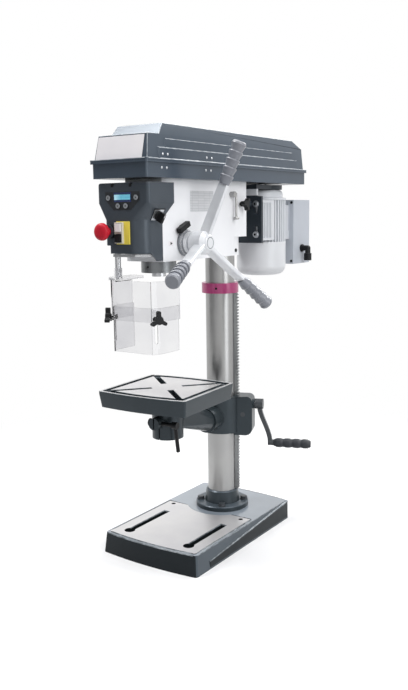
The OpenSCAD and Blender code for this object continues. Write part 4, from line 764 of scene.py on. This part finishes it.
def bars(name, body, places, length, width, height, finish, edge=0.0):
    """Ribs or scale lines on one body, in millimetres; places are (point, facing, run, share of length)."""
    mesh = bpy.data.meshes.new(name)
    mesh.from_pydata([Vector(place[0]) * MM for place in places], [], [])
    columns = (("facing", "FLOAT_VECTOR"), ("run", "FLOAT_VECTOR"), ("share", "FLOAT"))
    for column, (label, kind) in enumerate(columns, 1):
        values = mesh.attributes.new(label, kind, "POINT").data
        for item, place in zip(values, places):
            if kind == "FLOAT":
                item.value = place[column]
            else:
                item.vector = Vector(place[column]).normalized()
    made = plain_object(name, mesh)
    layer = made.modifiers.new("bars", "NODES")
    layer.node_group = BARS
    set_inputs(layer, {"Length": length * MM, "Width": width * MM, "Height": height * MM,
                       "Finish": FINISH[finish]})
    baked(made)
    if edge:
        soften(made, edge)
    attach(made, body)


RIVET = dict(washer=(2.6, 0.4), head=(2.2, 0.9), crown=1.2, recess=0.5, finish="satin_silver",
             recess_finish="satin_silver")
cover_side = 73.6
lid_rivet_z, tray_rivet_z, tray_rivet_shift = 922, 894.5, -4
for name, body, z, shift in (("lid_rivets", "lid", lid_rivet_z, 0),
                             ("tray_rivets", "stand", tray_rivet_z, tray_rivet_shift)):
    screws(name, body, [((s * cover_side, y + shift, z), (s, 0, 0))
                        for s in (1, -1) for y in (-325, -308, -162, -142)], **RIVET)
motor_plate_front, box_front = 100, 284
screws("motor_bolts", "carriage",
       [((x, motor_plate_front, z), (0, -1, 0)) for x in (-46, 46) for z in (744.5, 821.5)],
       washer=(8.6, 1.4), head=(6.6, 5.0), crown=6.2, recess=3.2, sides=24, finish="satin_silver")
screws("box_screws", "carriage", [((x, box_front, z), (0, -1, 0)) for x in (-50, 50) for z in (667, 826)],
       washer=(3.8, 0.4), head=(3.4, 1.8), crown=2.8, recess=1.4)
set_screw_spot = (42, 0, 709)
screws("head_set_screws", "stand", [(set_screw_spot, (1, 0, 0))],
       washer=(5.0, 1.0), head=(5.0, 5.0), crown=4.6, recess=2.4)
_, ring_high, ring_middle = box_of("column_ring")
ring_turn, ring_sink = math.radians(-70), 1.6
ring_way = Vector((math.cos(ring_turn), math.sin(ring_turn), 0))
screws("column_ring_screw", "stand",
       [(ring_way * (ring_high.x - ring_sink) + Vector((0, 0, ring_middle.z)), ring_way)],
       washer=(2.8, 0.3), head=(2.8, 0.8), crown=2.6, recess=1.4)
collar_low, _, collar_middle = box_of("quill_ring")
collar_sink = 2.0
screws("quill_ring_screw", "stand", [((0, collar_low.y + collar_sink, collar_middle.z), (0, -1, 0))],
       washer=(2.3, 0.3), head=(2.3, 0.9), crown=2.1, recess=1.2)

# Depth scale lines on the cone of the ring, every fifth one long, and the ribs of the terminal box
dial_low, dial_high, dial_middle = box_of("depth_ring")
dial_r = (dial_high.z - dial_low.z) / 2
cone_length, cone_drop = 6.5, 5
cone_run = Vector((cone_length, -cone_drop)).normalized()
line_count, long_every, short_share = 60, 5, 0.55
along = Vector((1, 0, 0))
dial_spot = Vector((dial_high.x - cone_length / 2, dial_middle.y, dial_middle.z))
dial_lines = []
for i in range(line_count):
    turn = 2 * math.pi * i / line_count
    out = Vector((0, math.cos(turn), math.sin(turn)))
    spot = dial_spot + out * (dial_r - cone_drop / 2)
    facing = out * cone_run.x - along * cone_run.y
    run = along * cone_run.x + out * cone_run.y
    dial_lines.append((spot, facing, run, short_share if i % long_every else 1.0))
bars("depth_scale_lines", "feed", dial_lines, length=5.6, width=0.7, height=0.12, finish="label_plate")

box_low, box_high, _ = box_of("terminal_box")
rib_low, rib_high = box_low.z + 91, box_high.z - 7
bars("box_ribs", "carriage",
     [((s * x, box_low.y, (rib_low + rib_high) / 2), (0, -1, 0), (0, 0, 1), 1.0)
      for s in (1, -1) for x in (21, 28, 35, 42)],
     length=rib_high - rib_low, width=3.2, height=2.6, finish="box_enamel", edge=0.9)


# Plates, marks and small control trim

def plate(name, body, finish, corners, thickness, edge=0.0):
    """Thin plate on corners in millimetres, listed counter-clockwise seen from outside."""
    points = [Vector(c) * MM for c in corners]
    out = (points[1] - points[0]).cross(points[2] - points[0]).normalized() * thickness * MM
    count = len(points)
    mesh = bpy.data.meshes.new(name)
    sides = [(i, (i + 1) % count, (i + 1) % count + count, i + count) for i in range(count)]
    mesh.from_pydata(points + [p + out for p in points], [],
                     [tuple(reversed(range(count))), tuple(range(count, 2 * count))] + sides)
    made = soften(plain_object(name, mesh, finish), edge)
    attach(made, body)


def turned(name, body, finish, outline, centre, axis):
    """Ring from a closed outline of (radius, height) pairs in millimetres, turned about axis."""
    way = Vector((0, 0, 1)).rotation_difference(Vector(axis))
    shape = bmesh.new()
    rows = []
    for i in range(RING_STEPS):
        turn = 2 * math.pi * i / RING_STEPS
        spots = [Vector((r * math.cos(turn), r * math.sin(turn), h)) for r, h in outline]
        rows.append([shape.verts.new((Vector(centre) + way @ spot) * MM) for spot in spots])
    for i, row in enumerate(rows):
        after = rows[(i + 1) % RING_STEPS]
        for k in range(len(outline)):
            n = (k + 1) % len(outline)
            shape.faces.new((row[k], after[k], after[n], row[n]))
    bmesh.ops.recalc_face_normals(shape, faces=shape.faces)
    mesh = bpy.data.meshes.new(name)
    shape.to_mesh(mesh)
    shape.free()
    made = plain_object(name, mesh, finish)
    smooth(mesh)
    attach(made, body)


lid_low, lid_high, _ = box_of("belt_lid")
front_foot, front_rise, front_back, front_lean = lid_high.z - 77.6, 53.6, 9.2, 10
label_foot, label_head = lid_high.z - 76.4, lid_high.z - 27.4


def lid_front(x, z):
    """Point on the lid's leaning front face."""
    return x, lid_low.y + front_back + front_lean * (z - front_foot) / front_rise, z


label_spots = ((-68, label_foot), (57, label_foot), (59, label_head), (-64, label_head))
plate("lid_label", "lid", "label_plate", [lid_front(*spot) for spot in label_spots],
      thickness=0.7, edge=0.25)


def head_plate(name, finish, spots, thickness, edge=0.0, lift=0.0):
    """Plate on the right side of the head; spots are (y, z)."""
    plate(name, "stand", finish, [(head_side + lift, y, z) for y, z in spots], thickness, edge)


def panel_plate(name, finish, face, spots, thickness, edge=0.0):
    """Plate on a front face of the control cover; spots are (x, z)."""
    plate(name, "stand", finish, [(x, face, z) for x, z in spots], thickness, edge)


head_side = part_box("head_casting")[1].x / MM
mark_plate_thickness = 0.4
head_plate("rating_plate", "rating_plate", rectangle((-196, 804), (-102, 850)), thickness=0.5, edge=0.2)
head_plate("depth_mark_plate", "label_plate", rectangle((-280, 730.5), (-263, 741)),
           thickness=mark_plate_thickness, edge=0.15)
head_plate("depth_mark", "black_plastic", ((-273, 732.5), (-265.5, 735.8), (-273, 739.1)),
           thickness=0.2, lift=mark_plate_thickness)

panel_plate("display_surround", "display_foil", panel_face, (
    (-47, 846.5), (-47, 829), (-25, 808), (22, 808), (46, 829), (46, 846.5)), thickness=0.3, edge=0.1)
window_low, window_high, _ = box_of("display_panel")
field_side, field_foot, field_head = 1.4, 4.6, 4.6
panel_plate("display_field", "display_screen", window_low.y, rectangle(
    (window_low.x + field_side, window_low.z + field_foot),
    (window_high.x - field_side, window_high.z - field_head)), thickness=0.15)
notch_half, notch_low, notch_high = 3.5, cover_high.z - 9, cover_high.z - 2
# Black plates where the cover has its notches: painted shade standing for the notches
for side, x in (("left", -28), ("right", 21)):
    panel_plate("cover_notch_" + side, "black_plastic", panel_face, rectangle(
        (x - notch_half, notch_low), (x + notch_half, notch_high)), thickness=0.2, edge=0.1)
key_mark_r = 2.6
for key, quarter in (("left", 2), ("right", 0), ("down", 3), ("up", 1)):
    key_low, _, key_middle = box_of("display_key_" + key)
    turns = [math.radians(90 * quarter + third) for third in (0, 120, 240)]
    plate("key_mark_" + key, "display_key_" + key, "key_mark",
          [(key_middle.x + key_mark_r * math.cos(turn), key_low.y, key_middle.z + key_mark_r * math.sin(turn))
           for turn in turns], thickness=0.15)

_, hub_high, hub_middle = box_of("feed_hub")
turned("hub_rim", "feed", "dial_grey", [(11.2, 0), (12.8, 0), (12.6, 0.3), (11.4, 0.3)],
       (hub_high.x, hub_middle.y, hub_middle.z), (1, 0, 0))
turned("stop_collar", "stand", "black_plastic", [(8.6, 0), (15.0, 0), (15.0, 8), (13.4, 11), (8.6, 11)],
       (stop_middle.x, panel_face, stop_middle.z), (0, -1, 0))

selector = next(joint for joint in frame["record"]["behaviour"]["joints"] if joint["name"] == "selector_turn")
slope_out = Vector(selector["axis"])
slope_across = Vector((0, 1, 0))
slope_down = slope_across.cross(slope_out)
slope_spot = Vector((54.9, -323, 797))


def slope_plate(name, body, finish, half, lift, thickness, shift=0.0):
    """Plate on the sloping side of the control cover, half sizes down and across the slope."""
    middle = slope_spot + slope_out * lift + slope_down * shift
    plate(name, body, finish, [middle + slope_down * (half[0] * a) + slope_across * (half[1] * b)
                               for a, b in ((-1, -1), (1, -1), (1, 1), (-1, 1))], thickness, edge=0.15)


border_thickness = 0.4
slope_plate("selector_border", "stand", "black_plastic", (15.5, 18.5), lift=0, thickness=border_thickness)
slope_plate("selector_plate", "stand", "satin_silver", (13, 16), lift=border_thickness, thickness=0.3)
slope_plate("selector_pointer", "selector", "label_plate", (3.6, 0.8), lift=18.2, thickness=0.15, shift=-5.5)

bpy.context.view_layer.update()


# Studio

def add_sight(tree, path):
    """Mask of the rays that show a surface itself: camera rays, clear plastic's rays and reflections."""
    sight = path.outputs["Is Camera Ray"]
    for label in ("Is Transmission Ray", "Is Glossy Ray"):
        either = add_node(tree, "ShaderNodeMath", operation="MAXIMUM")
        wire(tree, (sight, either.inputs[0]), (path.outputs[label], either.inputs[1]))
        sight = either.outputs["Value"]
    return sight


def white_world():
    """White where it is seen, and a dim cool grey as a light."""
    world = bpy.data.worlds.new("studio")
    scene.world = world
    world.use_nodes = True
    tree = world.node_tree
    tree.nodes.clear()
    soft = add_node(tree, "ShaderNodeBackground")
    set_sockets(soft, Color=(0.93, 0.95, 1.0, 1), Strength=0.18)
    white = add_node(tree, "ShaderNodeBackground")
    set_sockets(white, Color=(1, 1, 1, 1))
    mix = add_node(tree, "ShaderNodeMixShader")
    out = add_node(tree, "ShaderNodeOutputWorld")
    path = add_node(tree, "ShaderNodeLightPath")
    wire(tree, (add_sight(tree, path), mix.inputs["Fac"]), (soft.outputs["Background"], mix.inputs[1]),
         (white.outputs["Background"], mix.inputs[2]), (mix.outputs["Shader"], out.inputs["Surface"]))


def white_floor():
    """Pale paper near the object that fades to plain white further out, and throws less light back than it
    shows."""
    reach = 14
    mesh = bpy.data.meshes.new("floor")
    mesh.from_pydata([(x, y, 0) for x, y in rectangle((-reach, -reach), (reach, reach))], [], [(0, 1, 2, 3)])
    floor = bpy.data.objects.new("floor", mesh)
    scene.collection.objects.link(floor)
    paper = bpy.data.materials.new("studio_paper")
    paper.use_nodes = True
    tree = paper.node_tree
    shader = tree.nodes["Principled BSDF"]
    set_sockets(shader, Roughness=0.9)
    glow = add_node(tree, "ShaderNodeEmission")
    path = add_node(tree, "ShaderNodeLightPath")
    bounce = add_node(tree, "ShaderNodeMix", data_type="RGBA")
    bounce.inputs[MIX_A].default_value = (0.93, 0.93, 0.935, 1)
    bounce.inputs[MIX_B].default_value = (0.45, 0.45, 0.455, 1)
    place = add_node(tree, "ShaderNodeTexCoord")
    away = add_node(tree, "ShaderNodeVectorMath", operation="LENGTH")
    fade = add_node(tree, "ShaderNodeMapRange", interpolation_type="SMOOTHSTEP")
    set_sockets(fade, From_Min=0.35, From_Max=1.3, To_Min=0.0, To_Max=1.0)
    share = add_node(tree, "ShaderNodeMath", operation="MULTIPLY")
    mix = add_node(tree, "ShaderNodeMixShader")
    wire(tree, (path.outputs["Is Diffuse Ray"], bounce.inputs["Factor"]),
         (bounce.outputs[MIX_OUT], shader.inputs["Base Color"]), (place.outputs["Object"], away.inputs[0]),
         (away.outputs["Value"], fade.inputs["Value"]), (add_sight(tree, path), share.inputs[0]),
         (fade.outputs["Result"], share.inputs[1]), (share.outputs["Value"], mix.inputs["Fac"]),
         (shader.outputs["BSDF"], mix.inputs[1]), (glow.outputs["Emission"], mix.inputs[2]),
         (mix.outputs["Shader"], tree.nodes["Material Output"].inputs["Surface"]))
    mesh.materials.append(paper)


def lamp(name, place, aim, width, depth, power):
    """Rectangular soft lamp."""
    data = bpy.data.lights.new(name, "AREA")
    data.shape = "RECTANGLE"
    data.size = width
    data.size_y = depth
    data.energy = power
    made = bpy.data.objects.new(name, data)
    scene.collection.objects.link(made)
    made.location = place
    made.rotation_euler = (Vector(aim) - Vector(place)).to_track_quat("-Z", "Y").to_euler()


def card(name, start, end, top, tone, glow=0.0):
    """An upright card between two points on the floor, grey or glowing, that only reflections see."""
    foot = 0.02
    mesh = bpy.data.meshes.new(name)
    mesh.from_pydata([(*start, foot), (*end, foot), (*end, top), (*start, top)], [], [(0, 1, 2, 3)])
    made = bpy.data.objects.new(name, mesh)
    scene.collection.objects.link(made)
    felt = bpy.data.materials.new(name)
    felt.use_nodes = True
    set_sockets(felt.node_tree.nodes["Principled BSDF"], Base_Color=(tone, tone, tone, 1), Roughness=1,
                Emission_Color=(0.96, 0.98, 1, 1), Emission_Strength=glow)
    felt.cycles.emission_sampling = "NONE"
    mesh.materials.append(felt)
    for rays in ("camera", "diffuse", "shadow", "transmission"):
        setattr(made, "visible_" + rays, False)


def studio():
    """White floor and world, four soft lamps, and cards and a glowing strip that give metal its streaks."""
    white_world()
    white_floor()
    lamp("top_box", (0.3, 0.2, 3.0), (0, 0, 0.5), 2.2, 2.2, 52)
    lamp("slope_box", (-1.35, -0.95, 2.9), (0, -0.2, 0.8), 1.0, 1.0, 56)
    lamp("key_box", (2.8, -1.1, 1.9), (0, 0, 0.75), 2.4, 2.4, 66)
    lamp("rim_box", (0.5, 2.7, 2.7), (0, 0, 0.9), 1.6, 0.8, 60)
    card("left_card", (-2.9, -1.6), (-0.5, -2.7), 2.0, tone=0.35)
    card("right_card", (2.4, -1.9), (2.9, -1.3), 2.2, tone=0.05)
    card("right_strip", (1.5, -0.62), (1.6, 0.1), 0.75, tone=0.5, glow=2.2)


def camera():
    """The photograph's camera: place, direction, roll and lens fitted to the column, base and cover edges."""
    eye = Vector((1.0926, -1.6772, 0.7972))
    azimuth, elevation, roll = (math.radians(a) for a in (34.3, 9.3, -0.8))
    back = Vector((math.sin(azimuth) * math.cos(elevation), -math.cos(azimuth) * math.cos(elevation),
                   math.sin(elevation)))
    right = Vector((math.cos(azimuth), math.sin(azimuth), 0))
    up = back.cross(right)
    right, up = right * math.cos(roll) + up * math.sin(roll), up * math.cos(roll) - right * math.sin(roll)
    data = bpy.data.cameras.new("photo_camera")
    data.sensor_width = 36
    data.sensor_fit = "AUTO"
    data.lens = 41.61
    made = bpy.data.objects.new("photo_camera", data)
    scene.collection.objects.link(made)
    made.matrix_world = Matrix([[right[i], up[i], back[i], eye[i]] for i in range(3)] + [[0, 0, 0, 1]])
    scene.camera = made


studio()
camera()
scene.view_settings.view_transform = "Standard"
